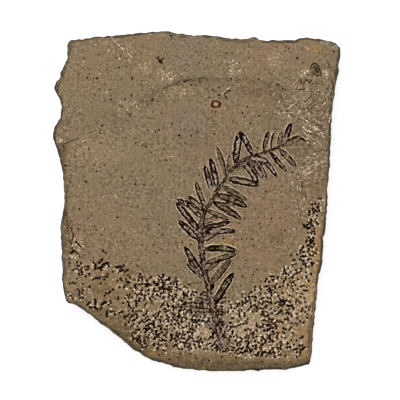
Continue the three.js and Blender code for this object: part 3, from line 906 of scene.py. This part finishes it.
# Scratches and chips: x, y at both ends, and width.
PALE_STROKES = [
    (45.4, 46.9, 46, 46.2, 0.45), (46.4, 45.6, 46.9, 44.7, 0.45), (45.6, 44.9, 46.1, 44.4, 0.4),
    (-44.5, -13.6, -43.6, -15, 0.7), (-41.3, -15.7, -40.6, -16.5, 0.6),
    (-45.6, -20.4, -44.2, -19.7, 0.9), (5.4, -60.2, 6.2, -60, 0.6), (2, -60.6, 2.6, -60.4, 0.45),
    (-2.8, -61, -2.2, -60.8, 0.4), (9.8, -61.2, 10.6, -61.2, 0.4), (15.4, -61.6, 16.2, -61.4, 0.4),
    (22, -60.9, 23, -60.9, 0.4), (-30.8, 58.9, -27.3, 55.5, 0.29),
    (-27.3, 55.5, -24.2, 52.7, 0.36), (-24.2, 52.7, -21.8, 49.8, 0.32),
    (-20.4, 48.7, -19.3, 47.6, 0.29), (-19, 47.6, -17.9, 46.7, 0.25),
    (-22.8, 57.9, -25.2, 55.1, 0.32), (-25.2, 55.1, -24.9, 54.3, 0.29),
    (-23.3, 53.5, -22.9, 53.2, 0.36), (-24.4, 50.9, -24, 50.4, 0.32),
    (-12.5, 46.7, -11.8, 46.3, 0.32), (-12.7, 44.5, -12.1, 44, 0.36),
    (-11.4, 43.9, -10.7, 43.6, 0.32), (-9.4, 43.8, -8.7, 44.5, 0.4),
    (-8.4, 44.8, -8.2, 45.3, 0.29), (-23.3, 34.6, -22.7, 34.1, 0.4),
    (-22, 33.8, -21.4, 34.5, 0.36), (-21.3, 35, -20.9, 35.4, 0.36),
    (-28.3, 33.5, -27.6, 33.3, 0.32), (-27.5, 32.3, -27, 31.8, 0.32),
    (-25.4, 33.2, -24.9, 32.9, 0.32), (-27.8, 31, -27.5, 30.3, 0.29),
    (-42.3, 32.7, -41.3, 32.8, 0.43), (-47.9, 26.7, -47.4, 26.3, 0.36),
    (-41.2, 50.5, -40.6, 50, 0.36), (-45.8, 52.1, -45.4, 51.4, 0.36),
    (-32.8, 39, -32.1, 39.5, 0.36), (-35.2, 46.1, -34.5, 45.9, 0.32),
    (-17.7, 60.1, -15.9, 60.2, 0.32), (12.7, 50.8, 13.2, 50.4, 0.32), (14, 49.9, 15.8, 49, 0.29),
    (13.6, 49.4, 11.5, 48, 0.4), (11.6, 47.3, 13.3, 46.4, 0.32), (13.2, 46.2, 11.8, 45.3, 0.32),
    (11.9, 45.1, 13.1, 44.3, 0.32), (6.9, 45.1, 9, 44.6, 0.36), (17.5, 54, 18.2, 53.3, 0.29),
    (17.5, 47.4, 18, 47.1, 0.36), (25.8, 51, 26.4, 51.3, 0.4), (28.9, 52.1, 29.4, 50.9, 0.36),
    (29.7, 53.4, 29.9, 52.9, 0.32), (5.1, 51.3, 6.5, 52.2, 0.25), (29.7, 42.3, 30.4, 41.9, 0.43),
    (26.8, 41.8, 28.6, 42.3, 0.29), (39, 46.7, 38.9, 44.6, 0.43), (46.3, 47.1, 46.7, 45, 0.32),
    (28.6, 32.3, 30, 31.4, 0.36), (31, 31.8, 35, 32, 0.36), (33.1, 30.9, 34, 29.6, 0.43),
    (36.1, 38.9, 35.3, 35.4, 0.3), (35.3, 35.4, 32.5, 33.2, 0.3), (37.9, 38.9, 36.7, 36.6, 0.3),
    (36.7, 36.6, 33.5, 33.6, 0.3), (28.6, 34.3, 31.8, 34.5, 0.25), (36.1, 56.6, 40.8, 54.8, 0.35),
    (46.3, 40.2, 49.1, 41.8, 0.29), (46.9, 38.3, 48.7, 40.2, 0.29), (46.6, 36.5, 48.4, 38.4, 0.25),
    (46.7, 32.1, 48.1, 34.7, 0.29), (45.1, 29.6, 47.3, 31.8, 0.39), (40.1, 31.6, 40.6, 31.1, 0.75),
    (37.1, 30.6, 41.3, 27.8, 0.51), (41.7, 29.9, 46.7, 27.3, 0.51), (37.8, 26.9, 40.3, 25.5, 0.51),
    (40.3, 27.6, 43.5, 25.5, 0.44), (38.5, 24.8, 44.2, 20.8, 0.51), (39.6, 23, 43.1, 20.7, 0.39),
    (43.5, 24.4, 46.3, 22.6, 0.39), (44.2, 20.8, 46.7, 18.3, 0.44), (38.6, 26.2, 41.5, 24.4, 0.32),
    (41.9, 27.1, 45.1, 25.2, 0.39), (37.2, 28.9, 39.4, 27.5, 0.39), (37.8, 10.5, 42.1, 13, 0.51),
    (42.1, 13, 46.3, 14.4, 0.58), (39.2, 9.1, 43.1, 11.9, 0.4), (-50.3, 22.5, -48.2, 21.7, 0.43),
    (-40.6, 19.9, -40, 19.6, 0.29), (-43.1, 17.3, -42.6, 16.8, 0.29),
    (-36.4, 15.4, -35.7, 15.2, 0.36), (-31.6, 12.3, -31, 11.9, 0.32),
    (-36.6, 11.6, -36.2, 11.1, 0.32), (-35.4, 10.5, -34.9, 10.1, 0.32),
    (-38.6, 9.8, -38.1, 9.5, 0.36), (-19.2, 13.6, -18.9, 12.7, 0.25), (-29.6, 2.3, -29, 1.7, 0.43),
    (-33.2, 2.1, -32.6, 2.3, 0.4), (-24, -4.9, -23.6, -5.4, 0.32),
    (-18.7, -4.3, -18.2, -4.9, 0.36), (-10.5, 16.1, -8.3, 16.1, 0.22),
    (-9.6, -9, -9.2, -9.5, 0.32), (-44.2, -13.1, -43.6, -13.9, 0.43),
    (-40.9, -15.7, -40.4, -16.2, 0.36), (-45.6, -20.1, -45, -20.9, 0.5),
    (-45.4, -21.1, -45.7, -22, 0.43), (14.2, -32.7, 15.1, -34.1, 0.36),
    (-3.8, -7.1, -4.6, -8.9, 0.25), (-5.3, -15.4, -6.4, -16.8, 0.25),
    (-1.8, -14.3, -1.3, -15.4, 0.22), (12, 5.5, 13.1, 4.1, 0.22), (31.4, -14.5, 32.9, -13.2, 0.22),
    (31.9, -15.7, 33, -14.4, 0.18), (38.2, 10.2, 39.6, 11, 0.6), (40.4, 11.4, 41.6, 12.3, 0.6),
    (42.6, 12.8, 44, 13.4, 0.6), (45, 13.8, 46.6, 14.8, 0.5), (39.9, 9.9, 41.4, 10.9, 0.5),
    (36.4, 8.4, 37.6, 9.6, 0.4), (38.6, 46.3, 39.4, 45.3, 0.6), (39.8, 46.9, 40.2, 46.2, 0.5),
    (44.9, 33.4, 46.6, 36.6, 0.4), (47.6, 28.2, 48.2, 31.4, 0.4), (9.2, 38.7, 10.6, 40, 0.4),
    (10.8, 40.3, 12.4, 41.1, 0.4), (8.8, -44.9, 9.9, -44.1, 1.0), (13.7, -41.2, 15.4, -42.3, 0.9),
    (3.2, -38.6, 4.4, -37.6, 0.8), (14.3, -48.6, 15.3, -50.6, 0.7),
]

# Patches where the skin is scuffed all over: x, y, half width, half height, direction and how
# many pale and brown strokes lie there.
SCUFFED_PATCHES = [
    (35, 35, 5, 5, 0.95, 40), (42, 37, 6, 7, 0.9, 60), (43, 24, 6, 8, -0.58, 70),
    (39, 12, 6, 4, 0.4, 40), (42, 16, 5, 4, 0.5, 50), (37, 2, 4, 9, 1.5, 30),
    (41, 45, 6, 4, 0.8, 26), (-45.5, -15, 2.6, 11, 1.3, 44), (-24.6, 33.3, 5, 4, 0.6, 24),
    (-10.6, 45, 5, 3, 0.9, 24), (14, 48, 3.5, 5, 0.9, 20), (-27, 55, 5, 5, -0.8, 20),
    (-38, 24, 8, 4, 0.4, 24),
]
SCUFF_TONES = (-1.9, -1.6, -1.2, -0.8, 0.0, 0.6)
SCRAPE_HEIGHT = 0.03
BRUISE_HEIGHT = 0.05

scrape_grains = Grains()
for *ends, width in PALE_STROKES:
    for x, y, length, turn in along_stroke(ends, 0.3, 1.3, 1.2, gaps=0.12):
        x += draw.uniform(-0.1, 0.1)
        y += draw.uniform(-0.1, 0.1)
        across = 1.4 * width * draw.uniform(0.7, 1.1)
        turn += draw.uniform(-0.15, 0.15)
        tone = draw.uniform(-0.2, 0.6)
        scrape_grains.press(x, y, length, across, turn, SCRAPE_HEIGHT, tone)

for patch_x, patch_y, half_width, half_height, direction, count in SCUFFED_PATCHES:
    for _ in range(count):
        x = patch_x + half_width * draw.gauss(0, 0.55)
        y = patch_y + half_height * draw.gauss(0, 0.55)
        length, width = draw.uniform(0.7, 2.1), draw.uniform(0.3, 0.5)
        turn = direction + draw.gauss(0, 0.35)
        tone = draw.choice(SCUFF_TONES)
        scrape_grains.press(x, y, length, width, turn, FAINT_HEIGHT, tone)

# The stone beside most crumbs is bruised pale.
for x, y, turn in bruises:
    if draw.random() < 0.6 + 0.38 * smooth(-24, -16, x):
        length, width = draw.uniform(0.55, 1.4), draw.uniform(0.35, 0.58)
        turn += draw.gauss(0, 0.8)
        scrape_grains.press(x, y, length, width, turn, BRUISE_HEIGHT, draw.uniform(-0.4, 1.5))

scrapes = scrape_grains.finish("pale_scrapes")
SCRAPE_TAN = linear(158, 138, 110)
SCRAPE_CREAM = linear(246, 230, 206)


def scrape_material():
    made, tree = empty_material("bruised_shale")
    speckled = rise(cloud(own_place(tree), 1500, 2, 0.6), 0.35, 0.65, -0.5, 0.5)
    tone = plus(channels(tree, "tone")[0], speckled)
    colour = blend(tone, SCRAPE_TAN, SCRAPE_CREAM)
    surface(blend(rise(tone, -1.2, -0.6, 0.85, 0), colour, FAINT_BROWN), 0.9, 0.2)
    return made


scrapes.data.materials.append(scrape_material())
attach(scrapes, "root")

# ------------------------------------------------------------ the redwood shoot
# A stem with flat needle leaves, pressed to a brown-black carbon film a few tenths of a
# millimetre thick. Most leaves have a black rim and a thinner, paler middle.

# The middle line of the stem, from its foot to its tip: x, y.
STEM = [
    (9.8, -53.2), (8.6, -49.2), (7.5, -45.3), (6.6, -41.3), (5.9, -38.1), (5, -34.1), (4.1, -30.1),
    (3.2, -26.9), (2.5, -22.6), (1.9, -18.3), (1.4, -13.9), (1.2, -10.7), (2.1, -6.7), (3.2, -3.1),
    (5.2, 0.1), (6.6, 2.8), (8.6, 5.7), (10.9, 9.1), (13.3, 12.2), (16, 14.5), (19.2, 16),
    (22.4, 17), (25.7, 18.1), (28.7, 19.4), (31.4, 20.6),
]

# Each leaf: base x, base y, tip x, tip y, width and bow to the left, all in millimetres; then
# how black its left and right rims are, how far up from its base it fades out, how lilac its
# middle is, and how much of the middle's brown film is left.
LEAVES = [
    # the tuft at the tip
    (31.5, 20.6, 34, 28.2, 2, 0.1, 1.3, 1.1, 0.35, 0.9, 0.1),
    (29.6, 19.5, 30.4, 24.9, 1.9, 0, 0.55, 0.5, 0, 0, 0.6),
    (31.6, 20.5, 37.3, 23.3, 2.8, -0.3, 0.85, 0.5, 0, 0, 0.6),
    (31.4, 20.3, 36.5, 20.6, 1.6, 0, 0.2, 0.4, 0, 0, 0.6),
    (37.4, 23, 39.2, 21.6, 0.8, 0, 1, 1, 0, 0, 1),
    # the far side, tip to middle
    (26.8, 18.6, 28, 25, 1.7, -0.1, 1, 0.1, 0, 0, 0.1),
    (24.3, 17.7, 26, 25.3, 1.8, 0.3, 0.95, 0.5, 0, 0, 0.5),
    (20.1, 16.3, 15.8, 25.1, 2, -0.2, 1.0, 1.05, 0, 0.6, 0.45),
    (14, 12.9, 15.7, 25.2, 2.7, 0.3, 1.2, 0.9, 0, 1.1, 0.55),
    (11.5, 9.8, 11.8, 16.7, 1.8, 0, 0.6, 0.45, 0.1, 0, 0.5),
    (10.4, 8.6, 7.3, 19.4, 1.9, -0.3, 0.45, 0.75, 0.05, 0, 0.5),
    (7.5, 4.1, 4.9, 15.5, 2.3, -0.2, 1.4, 1.2, 0.15, 0.9, 0.45),
    (5.9, 2.6, 2.9, 13, 2, 0.1, 1.2, 0.95, 0.3, 0.6, 0.4),
    (3.5, -2.4, -0.2, 7, 1.9, 0.4, 0.85, 0.6, 0.15, 0.1, 0.35),
    # the near side of the bent top
    (29.2, 19.4, 35.8, 12.4, 2.1, 0.1, 0.6, 0.6, 0, 0, 0.45),
    (25.9, 18.3, 32.3, 10.7, 1.7, 0.1, 1, 0.95, 0, 0.2, 0.1),
    (22.9, 16.7, 28.9, 8.9, 1.8, 0.1, 0.8, 0.85, 0.1, 0.5, 0.1),
    (20.6, 16.2, 25.3, 8.2, 1.5, 0.2, 0.7, 0.6, 0.2, 0.6, 0.2),
    (18.8, 15.6, 23.8, 8.3, 1.7, 0.1, 0.6, 0.75, 0.2, 0.7, 0.15),
    (18.3, 15.9, 25.8, 13.9, 2.9, 0.2, 1.1, 1.2, 0, 1.4, 0.1),
    (16.3, 14.9, 22.2, 5.9, 2.3, 0.4, 0.9, 0.9, 0.2, 0.6, 0.2),
    (13.4, 12, 19.6, 15.4, 3, -0.3, 0.95, 0.8, 0, 0.4, 0.8),
    (13.1, 11.8, 17, 12, 1.8, 0, 0.35, 0.4, 0, 0, 0.5),
    (10.4, 8.2, 22.2, 5.7, 2.7, 0.3, 0.85, 1, 0.1, 0.3, 0.45),
    # the right side of the middle
    (8.8, 5.9, 18.1, 0.4, 2.2, -0.1, 0.6, 0.6, 0, 0, 0.72),
    (6.5, 2.6, 18.1, -2, 2.6, 0.4, 0.85, 0.75, 0, 0.1, 0.5),
    (5.2, 0.3, 16, -6.4, 2.5, 0.2, 0.8, 0.85, 0, 0.1, 0.7),
    (8, -1.2, 13.8, -1, 1.7, 0, 0.7, 0.65, 0.1, 0, 0.4),
    (3.2, -3.1, 11.6, -6.6, 1.9, 0.1, 0.5, 0.7, 0, 0, 0.45),
    (1.9, -7.8, 7.5, -5.7, 2, 0, 0.5, 0.5, 0, 0, 0.25),
    (1.6, -9.4, 12.2, -7.3, 1.9, -0.3, 1, 0.9, 0, 0.2, 0.6),
    (1.4, -11.2, 14.4, -10.7, 2.1, 0.2, 0.75, 0.9, 0.1, 0.4, 0.3),
    (1.6, -14.3, 8, -10.5, 2.4, 0, 0.65, 0.7, 0, 0.3, 0.45),
    # the left side of the middle
    (3, -3.9, -3.2, 1.8, 2.3, -0.1, 0.7, 0.85, 0, 0.3, 0.4),
    (2.3, -6.4, -4.1, 0.5, 1.9, 0.1, 0.8, 0.7, 0.1, 0.2, 0.4),
    (1.3, -4.4, -7.1, 0.9, 1.7, -0.2, 1, 1, 0.35, 0.7, 0.2),
    (1.4, -11.1, -7.4, -0.4, 2.4, 0, 0.95, 1.5, 0, 0.6, 0.45),
    (1.4, -14.3, -6.4, -6.9, 2.4, 0.1, 1.5, 1.0, 0.1, 0.5, 0.45),
    # the right side of the lower stem
    (1.9, -17.4, 14.6, -17.9, 2.4, 0.8, 1, 0.9, 0, 0.1, 0.75),
    (2.6, -22.6, 14.4, -18.8, 2.2, 0.1, 0.5, 0.8, 0, 0, 0.5),
    (3.2, -25.5, 8.4, -21.1, 1.8, 0, 0.6, 0.55, 0, 0, 0.5),
    (4.4, -30.7, 12.4, -20.8, 2.6, 0.2, 0.5, 0.6, 0, 0, 0.85),
    (5.9, -38.1, 13.2, -25.7, 2.7, 0.2, 0.85, 1, 0, 0.2, 0.8),
    (4.4, -31.9, 6.4, -30, 1.5, 0, 0.9, 0.9, 0, 0, 0.6),
    # the left side of the lower stem
    (3, -27.8, -4.4, -16.2, 2.3, 0.1, 1, 1, 0, 0.6, 0.5),
    (3.5, -29.1, -3, -20.4, 1.8, 0.1, 0.85, 0.7, 0.1, 0.4, 0.35),
    (3.5, -28.9, -3.6, -22.4, 1.6, 0, 0.9, 0.5, 0.5, 0, 0.4),
    # broken leaves at the foot
    (5.9, -39.5, -4.6, -38.1, 2.1, 0.2, 0.35, 0.4, 0.1, 0.5, 0.55),
    (5.5, -37, -0.6, -34.5, 1.8, 0, 0.45, 0.4, 0, 0.4, 0.5),
    (6.2, -39.9, 10, -40.4, 1.8, 0, 0.7, 0.6, 0, 0, 0.5),
    (8, -48.1, 3.7, -42.7, 1.6, 0.1, 0.75, 0.6, 0, 1.0, 0.25),
    (8.4, -48.9, 10.6, -43.7, 1.6, -0.1, 0.5, 0.6, 0, 1.0, 0.2),
]

ACROSS_STEPS = 10
LEAF_STEPS = 26
STEM_STEPS = 200
STEM_LENGTH = 88
FILM_LIFT = 0.05
STEM_LIFT = FILM_LIFT + 0.1
LEAF_OVERLAP = 0.012
FILM_GAP = 0.02
FILM_CROWN = 0.07
FILM_SUNK = 0.12
STEM_WIDTH_AT_FOOT = 2.4
STEM_WIDTH_AT_TIP = 0.85
# Where the stem is wider, from its foot at 0 to its tip at 1: middle, spread and growth.
STEM_KNOTS = ((0.45, 0.05, 1.6), (0.16, 0.05, 0.9), (0.34, 0.08, 0.5))
BLEACHED_WIDTH = 0.65
STEM_FLAKES = 400
FLAKE_HEIGHT = 0.21
STEM_FLAKE_HEIGHT = 0.31


def hump(t, middle, spread):
    """1 in the middle of a soft hump and 0 well away from it."""
    return math.exp(-(((t - middle) / spread) ** 2))


def to_left(along):
    """The direction to the left of another."""
    return Vector((-along.y, along.x))


def curve_point(points, t):
    """A point and the direction on a smooth curve through the points, t from 0 to 1."""
    spans = len(points) - 1
    at = min(spans - 1e-6, t * spans)
    i = int(at)
    u = at - i
    p0, p1, p2, p3 = (Vector(points[min(spans, max(0, k))]) for k in range(i - 1, i + 3))
    slope, bend, twist = p2 - p0, 2 * p0 - 5 * p1 + 4 * p2 - p3, 3 * p1 - p0 - 3 * p2 + p3
    place = 0.5 * (2 * p1 + slope * u + bend * u * u + twist * u**3)
    return place, (slope + 2 * bend * u + 3 * twist * u * u).normalized()


shoot_bm = bmesh.new()
inward = shoot_bm.verts.layers.float.new("inward")
fibre = shoot_bm.verts.layers.float_vector.new("fibre")
look = shoot_bm.verts.layers.float_color.new("look")
shoot_tints = shoot_bm.verts.layers.float_color.new("tints")


def lay_film(
    middle_line, half_width, looks, length, steps, lift, ragged, seed, inward_scale=1.0
):
    """One closed strip of film on the plate. The three functions take t from 0 to 1.

    The film lies between -1 and 1 across, and a thin skirt of bleached stone outside that.
    """
    made = bmesh.ops.create_grid(
        shoot_bm, x_segments=ACROSS_STEPS, y_segments=steps, size=0.5
    )
    top = made["verts"]
    for vertex in top:
        across = 2.5 * vertex.co.x
        outside = 5 * max(0.0, abs(across) - 1)
        across = max(-1.0, min(1.0, across))
        t = 1 - max(0.0, 0.5 - vertex.co.y) ** 1.5
        left_black, right_black, fade, lilac, fill = looks(t)
        middle, along = middle_line(t)
        hand = math.copysign(1, across)
        edge = half_width(t) * (1 + ragged * noise.noise((seed, length * t * 1.1, 2 * hand)))
        bleached = outside * BLEACHED_WIDTH
        aside = across * edge + bleached * hand
        x, y = middle - to_left(along) * aside
        height = (lift + FILM_CROWN * (1 - across**4) * smooth(0, 0.02, t)) * (1 - outside)
        vertex.co = Vector((x, y, surface_height(x, y) + height + FILM_GAP)) * MM
        vertex[inward] = edge * (1 - abs(across)) * inward_scale - bleached
        vertex[fibre] = (aside, t * length, seed * 3.7)
        black = left_black + (right_black - left_black) * smooth(-0.25, 0.25, across)
        black *= 0.95 + 0.6 * noise.noise((seed * 1.3, length * t / 1.8, across))
        whole = smooth(0.6 * fade, 1.3 * fade + 0.02, t)
        vertex[look] = (black * (0.5 + 0.5 * whole), whole, lilac, fill)
        vertex[shoot_tints] = (*stone_tints(x, y), crumb_density(x, y))
    faces = list(dict.fromkeys(face for vertex in top for face in vertex.link_faces))
    for item in bmesh.ops.extrude_face_region(shoot_bm, geom=faces)["geom"]:
        if isinstance(item, bmesh.types.BMVert):
            item.co.z -= (FILM_SUNK + FILM_CROWN + lift) * MM


class Leaf:
    """One leaf: where it lies, its outline and its looks."""

    def __init__(self, row):
        self.base, self.tip = Vector(row[:2]), Vector(row[2:4])
        self.width, self.bow = row[4:6]
        self.looks = row[6:]
        self.length = (self.tip - self.base).length
        self.along = (self.tip - self.base).normalized()
        self.leftward = to_left(self.along)
        self.turn = math.atan2(self.along.y, self.along.x)

    def point(self, t, aside=0.0):
        """A point so far up the leaf and so far left of its middle line."""
        return self.base.lerp(self.tip, t) + self.leftward * (4 * self.bow * t * (1 - t) + aside)

    def middle_line(self, t):
        turn = self.along + self.leftward * 4 * self.bow * (1 - 2 * t) / self.length
        return self.point(t), turn.normalized()

    def half_width(self, t):
        """Half its width, from its narrow foot (t = 0) to its blunt tip (t = 1)."""
        foot = 0.35 + 0.65 * smooth(0, 0.3, t)
        tip = max(0.0, (t - 0.62) / 0.38)
        return 0.5 * self.width * foot * math.sqrt(max(0.004, 1 - tip**2.3))


def stem_half_width(t):
    width = STEM_WIDTH_AT_FOOT + (STEM_WIDTH_AT_TIP - STEM_WIDTH_AT_FOOT) * (1 - (1 - t) ** 2.2)
    return (width + sum(growth * hump(t, at, spread) for at, spread, growth in STEM_KNOTS)) / 2


def stem_looks(t):
    """The stem is lilac and broken at its foot, black in its middle and thin brown film above."""
    upper = smooth(0.5, 0.62, t)
    foot = 1 - smooth(0.1, 0.25, t)
    knot = hump(t, 0.42, 0.09)
    black = 0.95 - 0.4 * upper
    lilac = 0.7 - 0.4 * upper - 0.35 * knot
    return black, black, 0.05, lilac, 0.64 - 0.08 * upper + 0.05 * foot + 0.14 * knot


leaves = [Leaf(row) for row in LEAVES]
for seed, leaf in enumerate(leaves):
    lay_film(
        leaf.middle_line, leaf.half_width, lambda t: leaf.looks, leaf.length, LEAF_STEPS,
        lift=FILM_LIFT + LEAF_OVERLAP * (seed % 5), ragged=0.3, seed=seed,
    )
lay_film(
    lambda t: curve_point(STEM, t), stem_half_width, stem_looks, STEM_LENGTH, STEM_STEPS,
    lift=STEM_LIFT, ragged=0.9, seed=90, inward_scale=2.0,
)


def shoot_face_rank(face):
    """A number of its own for each face of the shoot, from the places of its corners."""
    corners = [vertex.index for vertex in face.verts]
    return min(corners) * 4 * len(shoot_bm.verts) + sum(corners)


# The extrusion makes its side faces in an order that differs from run to run.
shoot_bm.verts.index_update()
shoot_bm.faces.sort(key=shoot_face_rank)
shoot = finished_piece(shoot_bm, "redwood_shoot")

# Thicker flakes of carbon are left on the stem and along the blackest rims, and pale chips of
# lilac mineral lie in the stem and in the middle of the best kept leaves.
flake_grains = Grains()
for _ in range(STEM_FLAKES):
    t = draw.random() ** 1.2
    middle, along = curve_point(STEM, t)
    aside = math.copysign(math.sqrt(draw.random()), draw.uniform(-1, 1)) * 1.05
    x, y = middle + to_left(along) * aside * stem_half_width(t)
    length, width = draw.uniform(0.6, 1.4), draw.uniform(0.4, 0.75)
    turn = math.atan2(along.y, along.x) + draw.gauss(0, 0.6)
    is_chip = draw.random() < 0.26 * (1 - t)
    shade = draw.uniform(1.2, 2.0) if is_chip else 0.9 * draw.random() ** 3
    flake_grains.press(x, y, length, width, turn, STEM_FLAKE_HEIGHT, shade)
for leaf in leaves:
    left_black, right_black, fade, lilac, _ = leaf.looks
    for _ in range(round(leaf.length * (2 + 2 * crumb_density(*leaf.tip)))):
        t = draw.uniform(max(0.05, fade), 0.96)
        side = draw.choice((-1, 1))
        black = left_black if side > 0 else right_black
        if draw.random() > max(black**1.5, crumb_density(*leaf.base.lerp(leaf.tip, t))):
            continue
        x, y = leaf.point(t, side * leaf.half_width(t) * draw.uniform(0.4, 1.05))
        length, width = draw.uniform(0.5, 1.2), draw.uniform(0.3, 0.55)
        turn = leaf.turn + draw.gauss(0, 0.3)
        flake_grains.press(x, y, length, width, turn, FLAKE_HEIGHT, 0.5 * draw.random() ** 3)
    for _ in range(round(1.7 * leaf.length * lilac)):
        t = draw.uniform(0.15, 0.9)
        x, y = leaf.point(t, leaf.half_width(t) * draw.uniform(-0.45, 0.45))
        length, width = draw.uniform(0.6, 1.5), draw.uniform(0.3, 0.46)
        turn = leaf.turn + draw.gauss(0, 0.15)
        flake_grains.press(x, y, length, width, turn, FLAKE_HEIGHT, draw.uniform(1.2, 2.1))
flakes = flake_grains.finish("carbon_flakes")
flakes.data.materials.append(bpy.data.materials["carbon_crumbs"])
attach(flakes, "root")

CARBON_BLACK = linear(19, 5, 2)
FILM_BROWN = linear(65, 43, 26)
FILM_LILAC = linear(194, 169, 154)
BLEACHED = linear(220, 203, 172)


def carbon_material():
    made, tree = empty_material("carbon_film")
    place = own_place(tree)
    black, whole, lilac, fill = channels(tree, "look")
    from_edge = node("ShaderNodeAttribute", tree=tree, attribute_name="inward").outputs["Fac"]
    fibres = node("ShaderNodeAttribute", tree=tree, attribute_name="fibre").outputs["Vector"]
    pink_tint, lilac_tint, ochre_tint, crumbs = channels(tree, "tints")
    stone = stone_in(place, pink_tint, lilac_tint, ochre_tint, 0, crumbs, 0.3)
    inside = rise(from_edge, -0.06, 0.06)
    patchy = cloud(place, 900, 3, 0.75)

    # The stone is bleached beside a black rim, and the middle of the leaf is pale where the
    # film has flaked away.
    bleach = times(rise(from_edge, -0.6, -0.12), black)
    bleach = times(bleach, rise(patchy, 0.37, 0.58, 0.18, 1))
    bleach = times(bleach, rise(minus(inside, lilac), 0, 1, 1, 0.2))
    colour = blend(bleach, stone["Color"], blend(lilac, BLEACHED, FILM_LILAC))

    # Brown film, in thin stripes along the leaf.
    stripes = cloud(shifted(fibres, (7, 0, 0), (1.9, 0.4, 1)), 1, 2, 0.6)
    body = plus(plus(stripes, times(fill, 0.55)), times(patchy, 0.35))
    body = times(rise(body, 0.76, 1.0), rise(cloud(place, 1500, 1, 0.6), 0.35, 0.65, 0.25, 1))
    body = times(times(body, rise(whole, 0, 1, 0.45, 1)), inside)
    colour = blend(times(body, 0.85), colour, FILM_BROWN)

    # Black rims of uneven width, and broken black threads in the film.
    wander = cloud(shifted(fibres, scale=(0.3, 0.45, 1)), 1, 3, 0.7)
    rim_width = times(rise(wander, 0.3, 0.7, 0.75, 1.3), rise(patchy, 0.35, 0.65, 0.6, 1.35))
    rim_width = times(rise(black, 0.2, 1.8, 0.42, 1.5), rim_width)
    rim = times(rise(minus(rim_width, from_edge), -0.05, 0.05), rise(from_edge, -0.1, 0.0))
    dashes = cloud(shifted(fibres, (3, 5, 0), (0.5, 0.8, 1)), 1, 2, 0.6)
    gaps = minus(dashes, rise(black, 0.2, 0.9, 0.58, 0.29))
    rim = times(rim, rise(gaps, -0.03, 0.05, 0.15, 1))
    threads = cloud(shifted(fibres, (1, 9, 0), (1.7, 0.7, 1)), 1, 2, 0.65)
    threads = rise(minus(threads, rise(fill, 0, 1, 0.66, 0.5)), -0.01, 0.05)
    threads = times(times(threads, rise(black, 0.2, 0.9, 0.4, 1)), inside)
    ink = times(calculate("MAXIMUM", rim, threads), rise(black, 0.1, 0.7, 0.5, 1.0))
    ink = times(ink, rise(whole, 0, 0.6, 0.55, 1))
    colour = blend(ink, colour, CARBON_BLACK)

    height = plus(stone["Height"], times(ink, 0.6))
    normal = bumpy(height, 0.7, 0.14 * MM)
    surface(colour, rise(ink, 0, 1, 0.9, 0.7), 0.02, {"Normal": normal})
    return made


shoot.data.materials.append(carbon_material())
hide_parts("redwood_sprig")
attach(shoot, "root")

# ------------------------------------------------------------ floor, light and camera
# A plain white sheet under soft, even light that comes a little from the far side. The camera
# looks straight down with a long lens.

FLOOR_SIZE = 3.0
VIEW_WIDTH = 144 * MM
VIEW_CENTRE = (1.2 * MM, 0.5 * MM)
LENS = 180
SENSOR = 36
PAPER_WHITE = (0.93, 0.93, 0.93, 1)

floor_bm = bmesh.new()
bmesh.ops.create_grid(floor_bm, x_segments=2, y_segments=2, size=FLOOR_SIZE / 2)
floor_mesh = bpy.data.meshes.new("white_sheet")
floor_bm.to_mesh(floor_mesh)
floor_bm.free()
floor = in_scene("white_sheet", floor_mesh)
paper, paper_tree = empty_material("white_paper")
surface(
    PAPER_WHITE, 0.9, 0.1, {"Emission Color": (1, 1, 1, 1), "Emission Strength": 0.45}, paper_tree
)
floor_mesh.materials.append(paper)

world = bpy.data.worlds.new("soft_surround")
world.use_nodes = True
sky = world.node_tree.nodes["Background"].inputs
sky["Color"].default_value = (1, 1, 1, 1)
sky["Strength"].default_value = 0.76
bpy.context.scene.world = world


def soft_lamp(name, place, width, power):
    """A square area lamp that points at the middle of the plate."""
    lamp = bpy.data.lights.new(name, "AREA")
    lamp.shape = "SQUARE"
    lamp.size = width
    lamp.energy = power
    holder = in_scene(name, lamp)
    holder.location = place
    holder.rotation_euler = (-Vector(place)).to_track_quat("-Z", "Y").to_euler()


soft_lamp("far_left_lamp", (-0.35, 0.75, 0.6), 0.35, 5.5)
soft_lamp("near_right_lamp", (0.5, -0.5, 0.9), 0.6, 1.0)

camera_data = bpy.data.cameras.new("overhead_camera")
camera_data.lens = LENS
camera_data.sensor_width = SENSOR
camera_data.sensor_fit = "HORIZONTAL"
camera_data.clip_start = 0.01
camera = in_scene("overhead_camera", camera_data)
camera.location = (*VIEW_CENTRE, VIEW_WIDTH * LENS / SENSOR + BEDDING_PLANE * MM)
bpy.context.scene.camera = camera

bpy.context.scene.view_settings.view_transform = "Standard"
